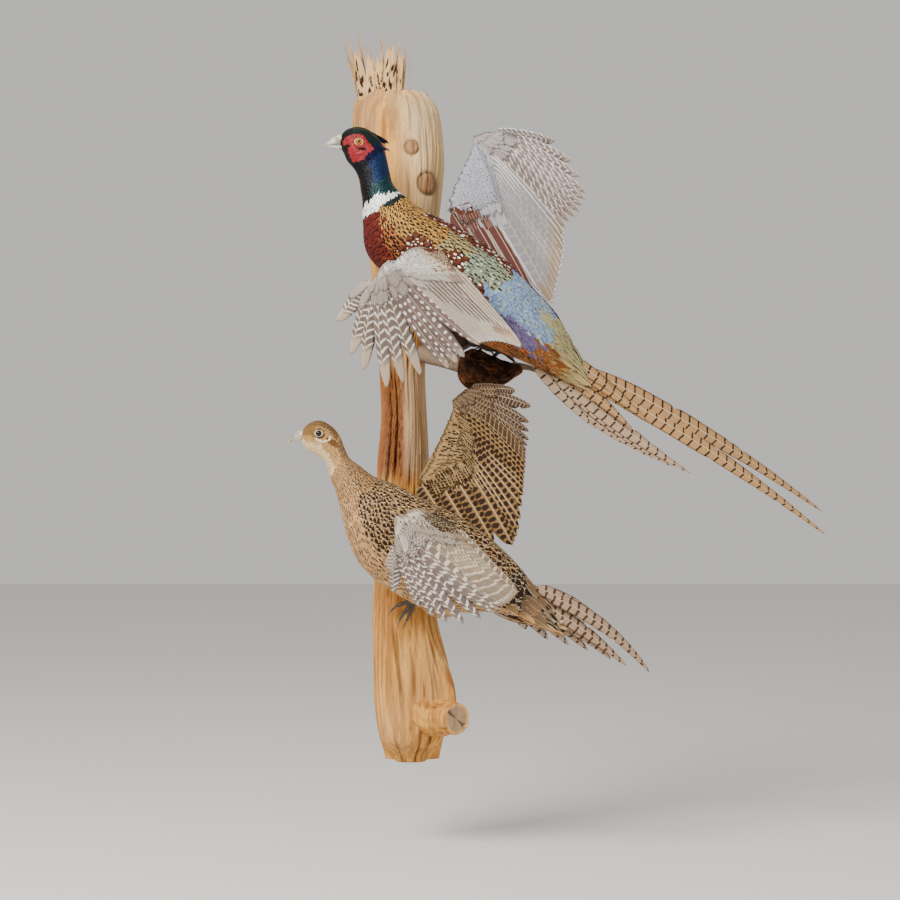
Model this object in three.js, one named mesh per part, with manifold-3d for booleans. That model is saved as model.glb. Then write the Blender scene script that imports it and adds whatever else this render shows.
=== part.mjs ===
// A wall mount of two ring-necked pheasants on a driftwood log, life size.
// The cock flies up to the left with both wings open; the hen flies below it on the same log.
// Millimetres. +X is right as seen from the room, +Z is up and +Y points into the wall.
// The origin is the hanging point on the log's flat back.
import * as THREE from 'three';
import Module from 'manifold-3d';
import { mergeVertices } from 'three/addons/utils/BufferGeometryUtils.js';

// ---------------------------------------------------------------- driving dimensions
const GAP = 0.3;             // clearance kept between neighbouring nodes
const BODY_SIDES = 16;       // facets round a bird's body
const RING_STEP = 0.75;      // spacing of the body's rings, in stations
const BODY_SQUARENESS = 2.2; // exponent of the body's oval section
const VANE = 1.5;            // thickness of a flight or tail feather
const EYE_RADIUS = 5.6;
const QUILLS = 22;           // 10 primaries and 12 secondaries on a wing
const WRIST = 9.5;           // place in the row of quills where the wrist stands
const LOG_SIDES = 12;        // facets round the front of the log
const STUB_RADIUS = 22;
const CLAW = 1.1;            // half thickness at a claw's point
const SMALLEST = 0.2;        // edges shorter than this are merged away

// Stations down a bird's body, from the bill's root to the tail's root.
// Each is centre x, y, z, half height, half width, lean and roll in degrees.
// Lean turns the back away from straight up in the wall's plane; roll turns it towards the room.
const COCK_BODY = [
  [-75, -155, 3, 8, 6.5, 0, 0],
  [-70, -156, 3, 15, 10, 3, 0],
  [-64, -157, 0, 22, 14.5, 7, 0],
  [-57, -158, -2, 26, 17.5, 12, 0],
  [-49, -159, -6, 28, 18.5, 19, 0],
  [-42, -160, -12, 28, 18, 29, 0],
  [-36, -161, -21, 27, 18, 39, 0],
  [-32, -162, -33, 25, 19, 48, 0],
  [-29, -163, -49, 24, 21, 57, 0],
  [-25, -165, -66, 25, 25, 62, 12],
  [-17, -168, -90, 36, 34, 55, 24],
  [-4, -172, -117, 49, 46, 48, 35],
  [30, -176, -143, 55, 53, 43, 42],
  [73, -178, -171, 58, 56, 41, 45],
  [112, -178, -203, 60, 56, 41, 45],
  [150, -174, -231, 52, 49, 42, 46],
  [185, -169, -256, 42, 42, 43, 47],
  [211, -164, -280, 28, 32, 43, 48],
  [233, -160, -301, 16, 24, 43, 48],
];
const HEAD_END = 8.4;        // stations, counted from the bill, where the head and the neck end
const NECK_END = 11.2;

const HEN_BODY = [
  [-127, -150, -387, 7, 5, 6, 0],
  [-122, -151, -386, 14, 9, 6, 0],
  [-115, -152, -387, 20, 13, 6, 0],
  [-106, -153, -388, 23, 15.5, 7, 0],
  [-98, -154, -392, 24, 16, 11, 0],
  [-90, -155, -398, 23, 15.5, 17, 0],
  [-84, -156, -407, 22, 15.5, 24, 0],
  [-80, -157, -418, 21, 17, 29, 0],
  [-75, -158, -431, 21, 20, 37, 0],
  [-66, -159, -441, 24, 24, 46, 8],
  [-52, -160, -463, 34, 34, 44, 16],
  [-33, -162, -488, 51, 48, 40, 25],
  [-7, -164, -515, 65, 55, 38, 32],
  [32, -165, -539, 72, 58, 37, 35],
  [74, -165, -563, 70, 56, 37, 35],
  [112, -164, -579, 55, 48, 37, 35],
  [144, -162, -591, 38, 38, 36, 36],
  [171, -160, -606, 23, 30, 35, 38],
  [193, -158, -619, 14, 23, 35, 40],
];

// Wings: the arm's joints, lead, the bend of the skin fold between wrist and shoulder, then
// the points that the feather tips pass through. A tip's key is its place in the row of
// quills: 0 is the outermost primary, 9 the innermost, 10 to 21 the secondaries from the
// outside in, and -1 the front edge of the outermost vane. Slots are the share of their
// length at which the primaries part from each other.
const COCK_WING_LEFT = {
  shoulder: [44, -212, -146], elbow: [78, -254, -172], lead: [24, -281, -136],
  wrist: [-2, -300, -171], hand: [-26, -291, -189], outward: [0.2, -1, 0.3],
  tips: [[-1, -58, -280, -188], [0, -75, -261, -241], [1, -57, -245, -283],
    [2, -41, -232, -302], [3, -12, -222, -325], [5, 32, -215, -308], [6, 69, -215, -299],
    [8, 89, -218, -284], [9, 109, -222, -268], [15, 135, -227, -264], [21, 162, -224, -271]],
  vane: 12, thick: 10, slots: [0.66, 0.3, 0.84, 0.7, 0.55, 0.6, 0.7, 0.85, 0.9],
};
const COCK_WING_RIGHT = {
  shoulder: [64, -156, -90], elbow: [126, -140, -72], lead: [59, -132, -80],
  wrist: [108, -118, 12], hand: [130, -138, 18], outward: [-0.3, -1, 0.2],
  tips: [[-1, 172, -185, 9], [0, 206, -200, -2], [1, 228, -205, -28], [2, 239, -205, -49],
    [3, 248, -200, -69], [6, 241, -180, -92], [9, 225, -150, -110], [12, 224, -132, -141],
    [15, 218, -125, -171], [18, 210, -128, -195], [21, 206, -132, -210]],
  vane: 12, thick: 10, slots: [0.93, 0.93, 0.68, 0.84, 0.9, 0.93, 0.93, 0.94, 0.94],
};
const HEN_WING_LEFT = {
  shoulder: [42, -210, -487], elbow: [78, -236, -505], lead: [26, -262, -468],
  wrist: [8, -268, -493], hand: [0, -262, -522], outward: [0.2, -1, 0.3],
  tips: [[-1, -7, -245, -556], [0, -2, -225, -590], [1, 31, -212, -610], [2, 48, -206, -622],
    [3, 66, -202, -630], [4, 88, -200, -632], [5, 110, -200, -625], [6, 129, -202, -618],
    [8, 138, -204, -608], [12, 148, -206, -602], [21, 157, -206, -590]],
  vane: 10, thick: 9, slots: [0.55, 0.7, 0.75, 0.72, 0.72, 0.75, 0.85, 0.93, 0.94],
};
const HEN_WING_RIGHT = {
  shoulder: [24, -150, -450], elbow: [86, -135, -425], lead: [64, -134, -379],
  wrist: [78, -122, -342], hand: [96, -136, -324], outward: [-0.3, -1, 0.2],
  tips: [[-1, 128, -156, -320], [0, 155, -170, -326], [1, 176, -178, -347],
    [2, 174, -172, -368], [4, 175, -160, -392], [6, 172, -150, -406], [9, 172, -142, -422],
    [12, 170, -134, -442], [15, 168, -128, -465], [18, 161, -128, -511], [21, 152, -132, -532]],
  vane: 10, thick: 9, slots: [0.75, 0.85, 0.9, 0.93, 0.93, 0.94, 0.95, 0.95, 0.95],
};

// Tails: rows of feathers from the lower edge of the fan to the upper one. Each is a place
// across the fan from -1 to 1, a tip, a half width and how far its middle bows up. The pad
// is the fleshy root, centre and half sizes, that all of them grow from.
const COCK_TAIL = {
  root: [214, -160, -294], across: [12, 0, 14], face: [0.25, -1, 0.35],
  pad: [[226, -160, -304], [24, 10, 17]],
  feathers: [
    [-1.3, [263, -158, -377], 10, -3], [-1.1, [301, -150, -397], 10, -8],
    [-0.9, [340, -143, -416], 11, -10], [-0.7, [366, -138, -427], 10, -10],
    [-0.5, [391, -134, -436], 12, -9], [-0.1, [312, -155, -378], 10, 2],
    [0.1, [577, -96, -519], 12.5, 9], [0.6, [574, -86, -488], 12.5, 9],
    [0.7, [330, -156, -366], 11, 3], [0.9, [296, -158, -338], 9, 3],
  ],
};
const HEN_TAIL = {
  root: [170, -160, -602], across: [11, 0, 16], face: [0.2, -1, 0.35],
  pad: [[180, -159, -612], [26, 10, 20]],
  feathers: [
    [-1.1, [146, -150, -629], 9, 0], [-0.9, [172, -146, -643], 10, 0],
    [-0.7, [200, -142, -657], 10, 2], [-0.4, [228, -138, -665], 10, 3],
    [-0.2, [254, -135, -672], 10, 4], [0, [285, -132, -684], 10, 5],
    [0.2, [305, -130, -693], 10, 6], [0.8, [336, -134, -701], 10, 14],
    [0.9, [290, -142, -656], 10, 9], [1, [250, -146, -628], 9, 5],
  ],
};
// Share of a tail feather's full half width along its length.
const TAIL_SHAPE = [[0, 0.4], [0.22, 0.97], [0.5, 0.97], [0.8, 0.52], [1, 0.08]];

// The log: height, left edge, right edge and how far the front stands off the wall.
const LOG = [
  [92, -53, 33, 42], [84, -63, 48, 56], [60, -66, 57, 66], [0, -63, 63, 74],
  [-50, -53, 59, 76], [-90, -48, 54, 76], [-150, -40, 47, 74], [-220, -34, 38, 72],
  [-300, -28, 35, 72],
  [-360, -25, 38, 72], [-420, -31, 41, 76], [-500, -34, 42, 80], [-580, -36, 46, 84],
  [-640, -38, 51, 88], [-700, -37, 65, 88], [-750, -36, 68, 86], [-790, -31, 64, 84],
  [-820, -24, 58, 78], [-834, -18, 54, 66],
];
// Splinters at the broken top: foot, tip and half width.
const SPLINTERS = [
  [[-52, -26, 84], [-79, -24, 160], 5], [[-49, -34, 84], [-73, -34, 166], 5],
  [[-43, -28, 84], [-58, -26, 171], 5.5], [[-36, -38, 84], [-52, -40, 169], 6],
  [[-28, -30, 84], [-42, -28, 158], 6.5], [[-20, -38, 84], [-26, -42, 168], 6],
  [[-13, -28, 84], [-14, -26, 169], 6], [[-5, -36, 84], [1, -38, 160], 6.5],
  [[3, -28, 84], [9, -26, 152], 4], [[16, -34, 82], [12, -34, 160], 2.2],
];

// ---------------------------------------------------------------- solids
const wasm = await Module();
wasm.setup();

const vec = (p) => new THREE.Vector3(...p);
const mix = (a, b, t) => a + (b - a) * t;

// A closed geometry as a solid for cutting and joining.
function solid(geometry) {
  const plain = geometry.clone();
  ['normal', 'uv', 'color'].forEach((name) => plain.deleteAttribute(name));
  const merged = mergeVertices(plain, 1e-4);
  const body = new wasm.Manifold(new wasm.Mesh({
    numProp: 3,
    vertProperties: new Float32Array(merged.attributes.position.array),
    triVerts: new Uint32Array(merged.index.array),
  }));
  return body;
}

// The solid's faceted skin as a geometry; crumbs left by a cut are dropped.
function skin(body) {
  const pieces = body.decompose().sort((a, b) => b.volume() - a.volume());
  const mesh = pieces[0].getMesh();
  const geometry = new THREE.BufferGeometry();
  geometry.setAttribute('position', new THREE.BufferAttribute(mesh.vertProperties, 3));
  geometry.setIndex(new THREE.BufferAttribute(mesh.triVerts, 1));
  geometry.computeVertexNormals();
  return geometry;
}

// A loft through rings of equal count, closed by a flat fan at both ends.
function loft(rings) {
  const count = rings[0].length;
  const points = rings.flat();
  const faces = [];
  for (let r = 0; r + 1 < rings.length; r++) {
    for (let i = 0; i < count; i++) {
      const a = r * count + i;
      const b = r * count + (i + 1) % count;
      faces.push(a, b, b + count, a, b + count, a + count);
    }
  }
  [0, rings.length - 1].forEach((r) => {
    const centre = new THREE.Vector3();
    rings[r].forEach((p) => centre.addScaledVector(p, 1 / count));
    points.push(centre);
    for (let i = 0; i < count; i++) {
      const a = r * count + i;
      const b = r * count + (i + 1) % count;
      faces.push(points.length - 1, r ? a : b, r ? b : a);
    }
  });
  let volume = 0;
  for (let f = 0; f < faces.length; f += 3) {
    const [a, b, c] = [points[faces[f]], points[faces[f + 1]], points[faces[f + 2]]];
    volume += a.dot(new THREE.Vector3().crossVectors(b, c));
  }
  if (volume < 0) {
    for (let f = 0; f < faces.length; f += 3) {
      [faces[f], faces[f + 1]] = [faces[f + 1], faces[f]];
    }
  }
  const geometry = new THREE.BufferGeometry();
  geometry.setAttribute('position',
    new THREE.Float32BufferAttribute(points.flatMap((p) => [p.x, p.y, p.z]), 3));
  geometry.setIndex(faces);
  return geometry;
}

// A smooth curve through rows of numbers, read at a place counted in rows.
function rowAt(rows, place) {
  const k = Math.max(0, Math.min(rows.length - 2, Math.floor(place)));
  const t = place - k;
  const [p0, p1, p2, p3] = [k - 1, k, k + 1, k + 2]
    .map((i) => rows[Math.max(0, Math.min(rows.length - 1, i))]);
  return p1.map((v, i) => 0.5 * (2 * v + (p2[i] - p0[i]) * t
    + (2 * p0[i] - 5 * v + 4 * p2[i] - p3[i]) * t * t
    + (3 * v - p0[i] - 3 * p2[i] + p3[i]) * t * t * t));
}

// The oval ring of a body at one station; grow swells it for cutting a clearance.
function bodyRing(stations, place, grow) {
  const [x, y, z, high, wide, lean, roll] = rowAt(stations, place);
  const [le, ro] = [THREE.MathUtils.degToRad(lean), THREE.MathUtils.degToRad(roll)];
  const up = new THREE.Vector3(Math.sin(le) * Math.cos(ro), -Math.sin(ro),
    Math.cos(le) * Math.cos(ro));
  const side = new THREE.Vector3(-Math.sin(le) * Math.sin(ro), -Math.cos(ro),
    -Math.cos(le) * Math.sin(ro));
  const ring = [];
  for (let i = 0; i < BODY_SIDES; i++) {
    const angle = (i / BODY_SIDES) * Math.PI * 2;
    const [c, s] = [Math.cos(angle), Math.sin(angle)];
    const size = (Math.abs(c) ** BODY_SQUARENESS + Math.abs(s) ** BODY_SQUARENESS)
      ** (-1 / BODY_SQUARENESS);
    ring.push(new THREE.Vector3(x, y, z)
      .addScaledVector(up, c * size * (high + grow))
      .addScaledVector(side, s * size * (wide + grow)));
  }
  return ring;
}

// A length of the body. Its rings stand on one common spacing, so that lengths cut from the
// same body share their facets.
function bodyLength(stations, from, to, grow = 0) {
  const places = [from];
  for (let k = Math.floor(from / RING_STEP) + 1; k * RING_STEP < to - 0.05; k++) {
    if (k * RING_STEP > from + 0.05) places.push(k * RING_STEP);
  }
  places.push(to);
  return solid(loft(places.map((place) => bodyRing(stations, place, grow))));
}

// Round rod through points with a radius at each, for legs, toes, twigs and cones.
function rod(points, radii, sides = 8, flat = 1) {
  const path = points.map(vec);
  const rings = path.map((p, i) => {
    const along = path[Math.min(i + 1, path.length - 1)].clone()
      .sub(path[Math.max(i - 1, 0)]).normalize();
    const across = new THREE.Vector3(0, 1, 0).cross(along);
    if (across.length() < 0.2) across.set(1, 0, 0);
    across.normalize();
    const third = new THREE.Vector3().crossVectors(along, across);
    return Array.from({ length: sides }, (_, k) => {
      const angle = (k / sides) * Math.PI * 2;
      return p.clone().addScaledVector(across, Math.cos(angle) * radii[i])
        .addScaledVector(third, Math.sin(angle) * radii[i] * flat);
    });
  });
  return solid(loft(rings));
}

// One tail feather as a thin blade along a bowed shaft; its width follows TAIL_SHAPE.
function feather(start, end, face, half, bend) {
  const rings = TAIL_SHAPE.map(([t, w]) => {
    const along = end.clone().sub(start).addScaledVector(bend, 4 * (1 - 2 * t)).normalize();
    const across = new THREE.Vector3().crossVectors(along, face).normalize();
    const normal = new THREE.Vector3().crossVectors(across, along);
    const middle = start.clone().lerp(end, t).addScaledVector(bend, 4 * t * (1 - t));
    return [[-1, 1], [1, 1], [1, -1], [-1, -1]].map(([a, n]) => middle.clone()
      .addScaledVector(across, a * w * half)
      .addScaledVector(normal, n * VANE / 2));
  });
  return solid(loft(rings));
}

const join = (bodies) => bodies.reduce((whole, body) => whole.add(body));

// ---------------------------------------------------------------- wings
// Piecewise blend through keyed tips: smooth in between, exact at each key.
function tipAt(tips, place) {
  const keys = tips.map((t) => t[0]);
  let k = keys.findIndex((key, i) => place <= (keys[i + 1] ?? Infinity));
  k = Math.min(k, keys.length - 2);
  const t = (place - keys[k]) / (keys[k + 1] - keys[k]);
  return rowAt(tips.map((row) => row.slice(1)), k + t);
}

// The place on the arm where feather i is rooted: the hand carries the primaries,
// the forearm the secondaries.
function quillRoot(wing, i) {
  const [hand, wrist, elbow] = [wing.hand, wing.wrist, wing.elbow].map(vec);
  return i <= WRIST ? hand.lerp(wrist, i / WRIST)
    : wrist.lerp(elbow, (i - WRIST) / (QUILLS - WRIST));
}

// The wing's front edge: just ahead of the hand, then along the fold of skin that spans
// from the wrist to the shoulder.
function frontEdge(wing, place, inner, ahead) {
  if (place <= WRIST) return ahead;
  const [wrist, lead, shoulder] = [wing.wrist, wing.lead, wing.shoulder].map(vec);
  const t = inner ? mix(0.75, 1, inner) : 0.75 * (place - WRIST) / (QUILLS - 1 - WRIST);
  return new THREE.QuadraticBezierCurve3(wrist, lead, shoulder).getPoint(t)
    .lerp(ahead, Math.max(0, 1 - t * 8));
}

function wingRow(wing, place) {
  const root = quillRoot(wing, place);
  const tip = vec(tipAt(wing.tips, place));
  const before = vec(tipAt(wing.tips, Math.max(place - 1, -1)));
  const after = vec(tipAt(wing.tips, Math.min(place + 1, QUILLS - 1)));
  const spacing = after.distanceTo(before) / (place > QUILLS - 2 ? 1 : 2);
  const reach = tip.clone().sub(root);
  const face = new THREE.Vector3().crossVectors(reach, after.sub(before)).normalize();
  const turn = Math.sign(face.dot(vec(wing.outward)));
  face.multiplyScalar(turn);
  // the stretch from the elbow in to the shoulder faces its own way
  const folded = new THREE.Vector3()
    .crossVectors(reach, vec(wing.shoulder).sub(vec(wing.elbow)))
    .normalize().multiplyScalar(turn);
  return { root, reach, face, folded, spacing };
}

// The columns of a wing, each a place in the row of quills and the share of the feather's
// length it reaches: two shoulders and a tip on each feather, and the slot before the next.
function wingColumns(wing) {
  const columns = [[-1, 1], [-0.55, 1]];
  for (let i = 0; i < QUILLS; i++) {
    const { spacing } = wingRow(wing, i);
    const broad = i < 9 && wing.slots[i] < 0.9;
    const half = Math.min(0.4, wing.vane / spacing);
    if (i > 0) columns.push([i - (broad ? half : 0.35), broad ? 0.87 : 0.975]);
    if (broad || i === 0) columns.push([i, 1]);
    if (broad) columns.push([i + half, 0.87]);
    if (i < QUILLS - 1) columns.push([i + 0.5, i < 9 ? wing.slots[i] : 0.95]);
  }
  return columns;
}

// The wing is one sheet from the hand to the shoulder: a tapered arm in front, coverts
// behind it, and thin vanes that run out to every feather's tip.
function wingSolid(wing) {
  const shoulder = vec(wing.shoulder);
  const columns = wingColumns(wing).map(([place, share]) => [place, share, 0]);
  for (let k = 1; k <= 3; k++) columns.push([QUILLS - 1, mix(0.95, 0.6, k / 3), k / 3]);
  const rings = columns.map(([place, share, inner]) => {
    const { root, reach, face, folded } = wingRow(wing, place);
    if (place === QUILLS - 1) face.add(folded).normalize();
    if (inner) face.copy(folded);
    const base = root.clone().lerp(shoulder, inner);
    const end = base.clone().addScaledVector(reach, share);
    const along = Math.max(0, place);
    const thick = wing.thick * mix(0.35, 1, Math.min(1, along / 14)) * (1 + inner * 0.8);
    const cover = Math.min(share - 0.05, along < 9 ? mix(0.25, 0.42, along / 9) : 0.5);
    const middle = base.clone().addScaledVector(reach, cover);
    return [
      frontEdge(wing, place, inner, base.clone().addScaledVector(reach, -0.05)),
      base.clone().addScaledVector(reach, 0.03).addScaledVector(face, thick * 0.8),
      middle.clone().addScaledVector(face, VANE * 1.2),
      end.clone().addScaledVector(face, VANE / 2),
      end.clone().addScaledVector(face, -VANE / 2),
      middle.clone().addScaledVector(face, -VANE),
      base.clone().addScaledVector(reach, 0.03).addScaledVector(face, -thick * 0.5),
    ];
  });
  return solid(loft(rings));
}

// ---------------------------------------------------------------- tails
function tailSolid(tail) {
  const [centre, size] = tail.pad;
  const pad = new THREE.IcosahedronGeometry(1, 1);
  pad.scale(...size);
  pad.translate(...centre);
  return solid(pad).add(join(tail.feathers.map(([place, tip, half, bow], i) => {
    const root = vec(tail.root).addScaledVector(vec(tail.across), place);
    root.y += (i % 3) * 2 - 4;
    return feather(root, vec(tip), vec(tail.face), half,
      new THREE.Vector3(0.55, 0, 0.83).multiplyScalar(bow));
  })));
}

// ---------------------------------------------------------------- heads
// The upper half of a bill curves down over the lower half; drop is how far its tip falls.
function billUpper([x, y, z], length, high, wide, drop) {
  return rod([[x + 6, y, z], [x, y, z], [x - length * 0.5, y, z - drop * 0.2],
    [x - length * 0.85, y, z - drop * 0.55], [x - length, y, z - drop]],
  [wide, wide * 0.95, wide * 0.62, wide * 0.32, 0.7], 10, high / wide);
}

function billLower([x, y, z], length, high, wide, drop) {
  return rod([[x + 6, y, z], [x, y, z], [x - length * 0.5, y, z - drop * 0.1],
    [x - length * 0.82, y, z - drop * 0.4]],
  [wide, wide * 0.9, wide * 0.6, 0.6], 10, high / wide);
}

// A toe runs from the foot and bends over the perch; its claw is the last stretch.
const toe = (points, thick) => rod(points,
  points.map((_, i) => mix(thick, CLAW, (i / (points.length - 1)) ** 1.5)), 5);

const eyeBall = ([x, y, z], grow = 0) => {
  const ball = new THREE.IcosahedronGeometry(EYE_RADIUS + grow, 1);
  ball.translate(x, y, z);
  return solid(ball);
};

// ---------------------------------------------------------------- driftwood
// Flat against the wall, rounded towards the room.
function logSolid() {
  const rings = LOG.map(([z, left, right, front], k) => {
    const [centre, half] = [(left + right) / 2, (right - left) / 2];
    const ring = [];
    for (let i = 0; i <= LOG_SIDES; i++) {
      const angle = Math.PI * (i / LOG_SIDES);
      const [c, s] = [Math.cos(angle), Math.sin(angle)];
      const groove = 1 - 0.035 * Math.cos(i * 2.4 + k * 0.15);
      ring.push(new THREE.Vector3(centre + half * Math.sign(c) * Math.abs(c) ** 0.7,
        -front * s ** 0.55 * groove, z));
    }
    ring.push(new THREE.Vector3(centre, 0, z));
    return ring;
  });
  const trunk = solid(loft(rings));
  const splinters = SPLINTERS.map(([foot, tip, half]) => rod(
    [foot, foot.map((v, i) => mix(v, tip[i], 0.45)), tip], [half, half * 0.85, 0.9], 5, 0.8));
  const stub = rod([[20, -40, -770], [52, -70, -768], [68, -88, -768], [80, -102, -768]],
    [38, 30, STUB_RADIUS + 2, STUB_RADIUS], 14);
  const root = rod([[20, -50, -700], [52, -66, -745], [60, -72, -768]], [20, 26, 20], 10);
  return join([trunk, ...splinters, stub, root]);
}

// The perch: a grey branch out of the log into a dark burl, and a twig beyond it.
function burlSolid(grow = 0) {
  const outline = [
    [83, -284, -306, 14], [92, -271, -319, 24], [108, -268, -322, 30], [126, -274, -323, 32],
    [141, -282, -318, 30], [155, -286, -307, 24], [167, -289, -303, 12],
  ];
  const rings = outline.map(([x, top, bottom, deep], k) => {
    const [mid, half] = [(top + bottom) / 2, (top - bottom) / 2 + grow];
    return Array.from({ length: 12 }, (_, i) => {
      const angle = (i / 12) * Math.PI * 2;
      const knob = 1 + 0.08 * Math.sin(i * 2.6 + k * 1.7);
      return new THREE.Vector3(x, -70 - Math.sin(angle) * (deep + grow) * knob,
        mid + Math.cos(angle) * half * knob);
    });
  });
  const burl = solid(loft(rings));
  const branch = rod([[24, -48, -270], [60, -60, -282], [98, -70, -292]],
    [13 + grow, 11 + grow, 13 + grow], 10);
  const twig = rod([[155, -72, -290], [178, -70, -293], [202, -66, -303]],
    [6 + grow, 4 + grow, 2.5 + grow], 6);
  return join([burl, branch, twig]);
}

// ---------------------------------------------------------------- the two birds
const drumstick = (points, radii) => rod(points, radii, 12);

function cockParts() {
  const last = COCK_BODY.length - 1;
  const whole = bodyLength(COCK_BODY, 0, last, GAP * 1.5);
  const eyes = { left: [-50, -171.5, 1], right: [-50, -146.5, 1] };
  const bill = [-74, -155.5, 6];
  const burl = burlSolid(GAP);
  const log = logSolid();

  const tufts = [[[-36, -150, -6], [-12, -148, 2]], [[-36, -168, -12], [-9, -170, -9]]]
    .map(([from, to]) => rod([from, to], [8, 0.9], 6, 0.5));
  const upper = billUpper(bill, 22, 6.5, 5.6, 7);
  const lower = billLower([-72, -155.5, -3.5], 20, 4.2, 5, -1);
  const wattles = [[-58, -173, -9, 15], [-61, -146, -12, 14]].map(([x, y, z, tall]) => {
    const lobe = new THREE.IcosahedronGeometry(1, 1);
    lobe.scale(13, 4, tall);
    lobe.rotateY(-0.5);
    lobe.translate(x, y, z);
    return solid(lobe);
  });
  const headBase = bodyLength(COCK_BODY, 0, HEAD_END).add(join([...tufts, ...wattles]));
  const head = headBase
    .subtract(eyeBall(eyes.left, GAP)).subtract(eyeBall(eyes.right, GAP));
  const neckGap = 0.02; // of a station: about 0.3 mm
  const neck = bodyLength(COCK_BODY, HEAD_END + neckGap, NECK_END).subtract(join(tufts));
  const trunk = bodyLength(COCK_BODY, NECK_END + neckGap * 0.6, last);

  // Thighs hang from the flanks; the toes close over the top of the perch.
  const legs = {
    left: [
      drumstick([[78, -168, -212], [72, -148, -238], [78, -118, -256], [90, -96, -259]],
        [34, 27, 13, 5]),
      rod([[86, -102, -258], [96, -84, -260], [104, -72, -261]], [5.2, 3.6, 4.2], 8),
      toe([[104, -72, -261], [90, -70, -262], [74, -64, -263], [66, -60, -268]], 3.2),
      toe([[104, -72, -261], [92, -82, -262], [80, -86, -268], [73, -84, -277]], 3.2),
      toe([[104, -72, -261], [96, -60, -262], [86, -48, -268], [80, -42, -276]], 3.2),
      toe([[103, -71, -261], [118, -66, -263], [126, -62, -270]], 3),
    ],
    right: [
      drumstick([[128, -158, -232], [124, -142, -250], [122, -116, -262], [130, -92, -266]],
        [28, 21, 11, 5]),
      rod([[127, -98, -265], [134, -78, -266], [141, -66, -270]], [5.2, 3.6, 4.2], 8),
      toe([[141, -66, -270], [128, -68, -268], [116, -76, -264], [108, -84, -266]], 3.2),
      toe([[141, -66, -270], [130, -58, -268], [119, -54, -264], [111, -52, -267]], 3.2),
      toe([[141, -66, -270], [134, -52, -273], [128, -44, -280], [124, -40, -288]], 3.2),
      toe([[140, -66, -270], [153, -64, -279], [160, -62, -287]], 3),
    ],
  };
  const clear = (part) => part.subtract(whole);
  const wings = {
    left: clear(wingSolid(COCK_WING_LEFT)),
    right: clear(wingSolid(COCK_WING_RIGHT)),
  };
  return {
    cock_head: head,
    cock_neck: neck,
    cock_trunk: trunk,
    cock_tail: clear(tailSolid(COCK_TAIL)),
    cock_wing_left: wings.left,
    cock_wing_right: wings.right,
    cock_leg_left: clear(join(legs.left)).subtract(burl).subtract(log),
    cock_leg_right: clear(join(legs.right)).subtract(burl).subtract(log),
    cock_bill_upper: clear(upper),
    cock_bill_lower: clear(lower).subtract(billUpper(bill, 22, 6.5 + GAP, 5.6 + GAP, 7)),
    cock_eye_left: eyeBall(eyes.left),
    cock_eye_right: eyeBall(eyes.right),
    driftwood_log: log,
    perch_burl: burlSolid().subtract(growLog()),
  };
}

// The log swelled by the clearance, for cutting the burl and the feet.
function growLog() {
  return logSolid().scale([1.006, 1.006, 1]);
}

function henSolid() {
  const last = HEN_BODY.length - 1;
  const body = bodyLength(HEN_BODY, 0, last);
  const bill = [
    billUpper([-126, -150.5, -384], 20, 5.4, 4.8, 11),
    billLower([-124, -150.5, -390], 17, 3.6, 4.2, 8),
  ];
  const legs = [
    drumstick([[76, -150, -590], [56, -140, -606], [38, -120, -607], [28, -108, -606]],
      [34, 24, 12, 6]),
    rod([[31, -113, -605], [26, -106, -610], [19, -96, -609]], [5, 3.4, 4], 8),
    toe([[19, -97, -609], [8, -95, -612], [-2, -93, -616], [-7, -91, -620]], 3.2),
    toe([[19, -97, -609], [12, -97, -620], [5, -96, -629], [2, -95, -635]], 3.2),
    toe([[20, -97, -609], [19, -97, -620], [14, -97, -630], [11, -96, -636]], 3.2),
  ];
  return join([body, ...bill, wingSolid(HEN_WING_LEFT), wingSolid(HEN_WING_RIGHT),
    tailSolid(HEN_TAIL), ...legs]).subtract(growLog());
}

// ---------------------------------------------------------------- assembly
const FINISH = {
  cock_head: ['#12343a', 0.4, 0.3],
  cock_neck: ['#16314f', 0.4, 0.3],
  cock_trunk: ['#a9642c', 0.75, 0],
  cock_tail: ['#b59a7c', 0.7, 0],
  cock_wing_left: ['#a99f93', 0.75, 0],
  cock_wing_right: ['#b0a69c', 0.75, 0],
  cock_leg_left: ['#6d655a', 0.6, 0],
  cock_leg_right: ['#6d655a', 0.6, 0],
  cock_bill_upper: ['#c9bd9c', 0.45, 0],
  cock_bill_lower: ['#c9bd9c', 0.45, 0],
  cock_eye_left: ['#c98a1c', 0.08, 0],
  cock_eye_right: ['#c98a1c', 0.08, 0],
  driftwood_log: ['#c9a673', 0.85, 0],
  perch_burl: ['#3a271a', 0.9, 0],
  hen: ['#b39b7a', 0.8, 0],
};

const group = new THREE.Group();
Object.entries({ ...cockParts(), hen: henSolid() }).forEach(([name, body]) => {
  const [color, roughness, metalness] = FINISH[name];
  const mesh = new THREE.Mesh(skin(body.simplify(SMALLEST)),
    new THREE.MeshStandardMaterial({ color, roughness, metalness }));
  mesh.name = name;
  group.add(mesh);
});

export default group;
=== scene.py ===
"""A wall mount of two ring-necked pheasants on driftwood: skins, plumage, horn, glass and wood."""
import math

import bpy
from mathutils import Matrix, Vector
import numpy as np


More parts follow.
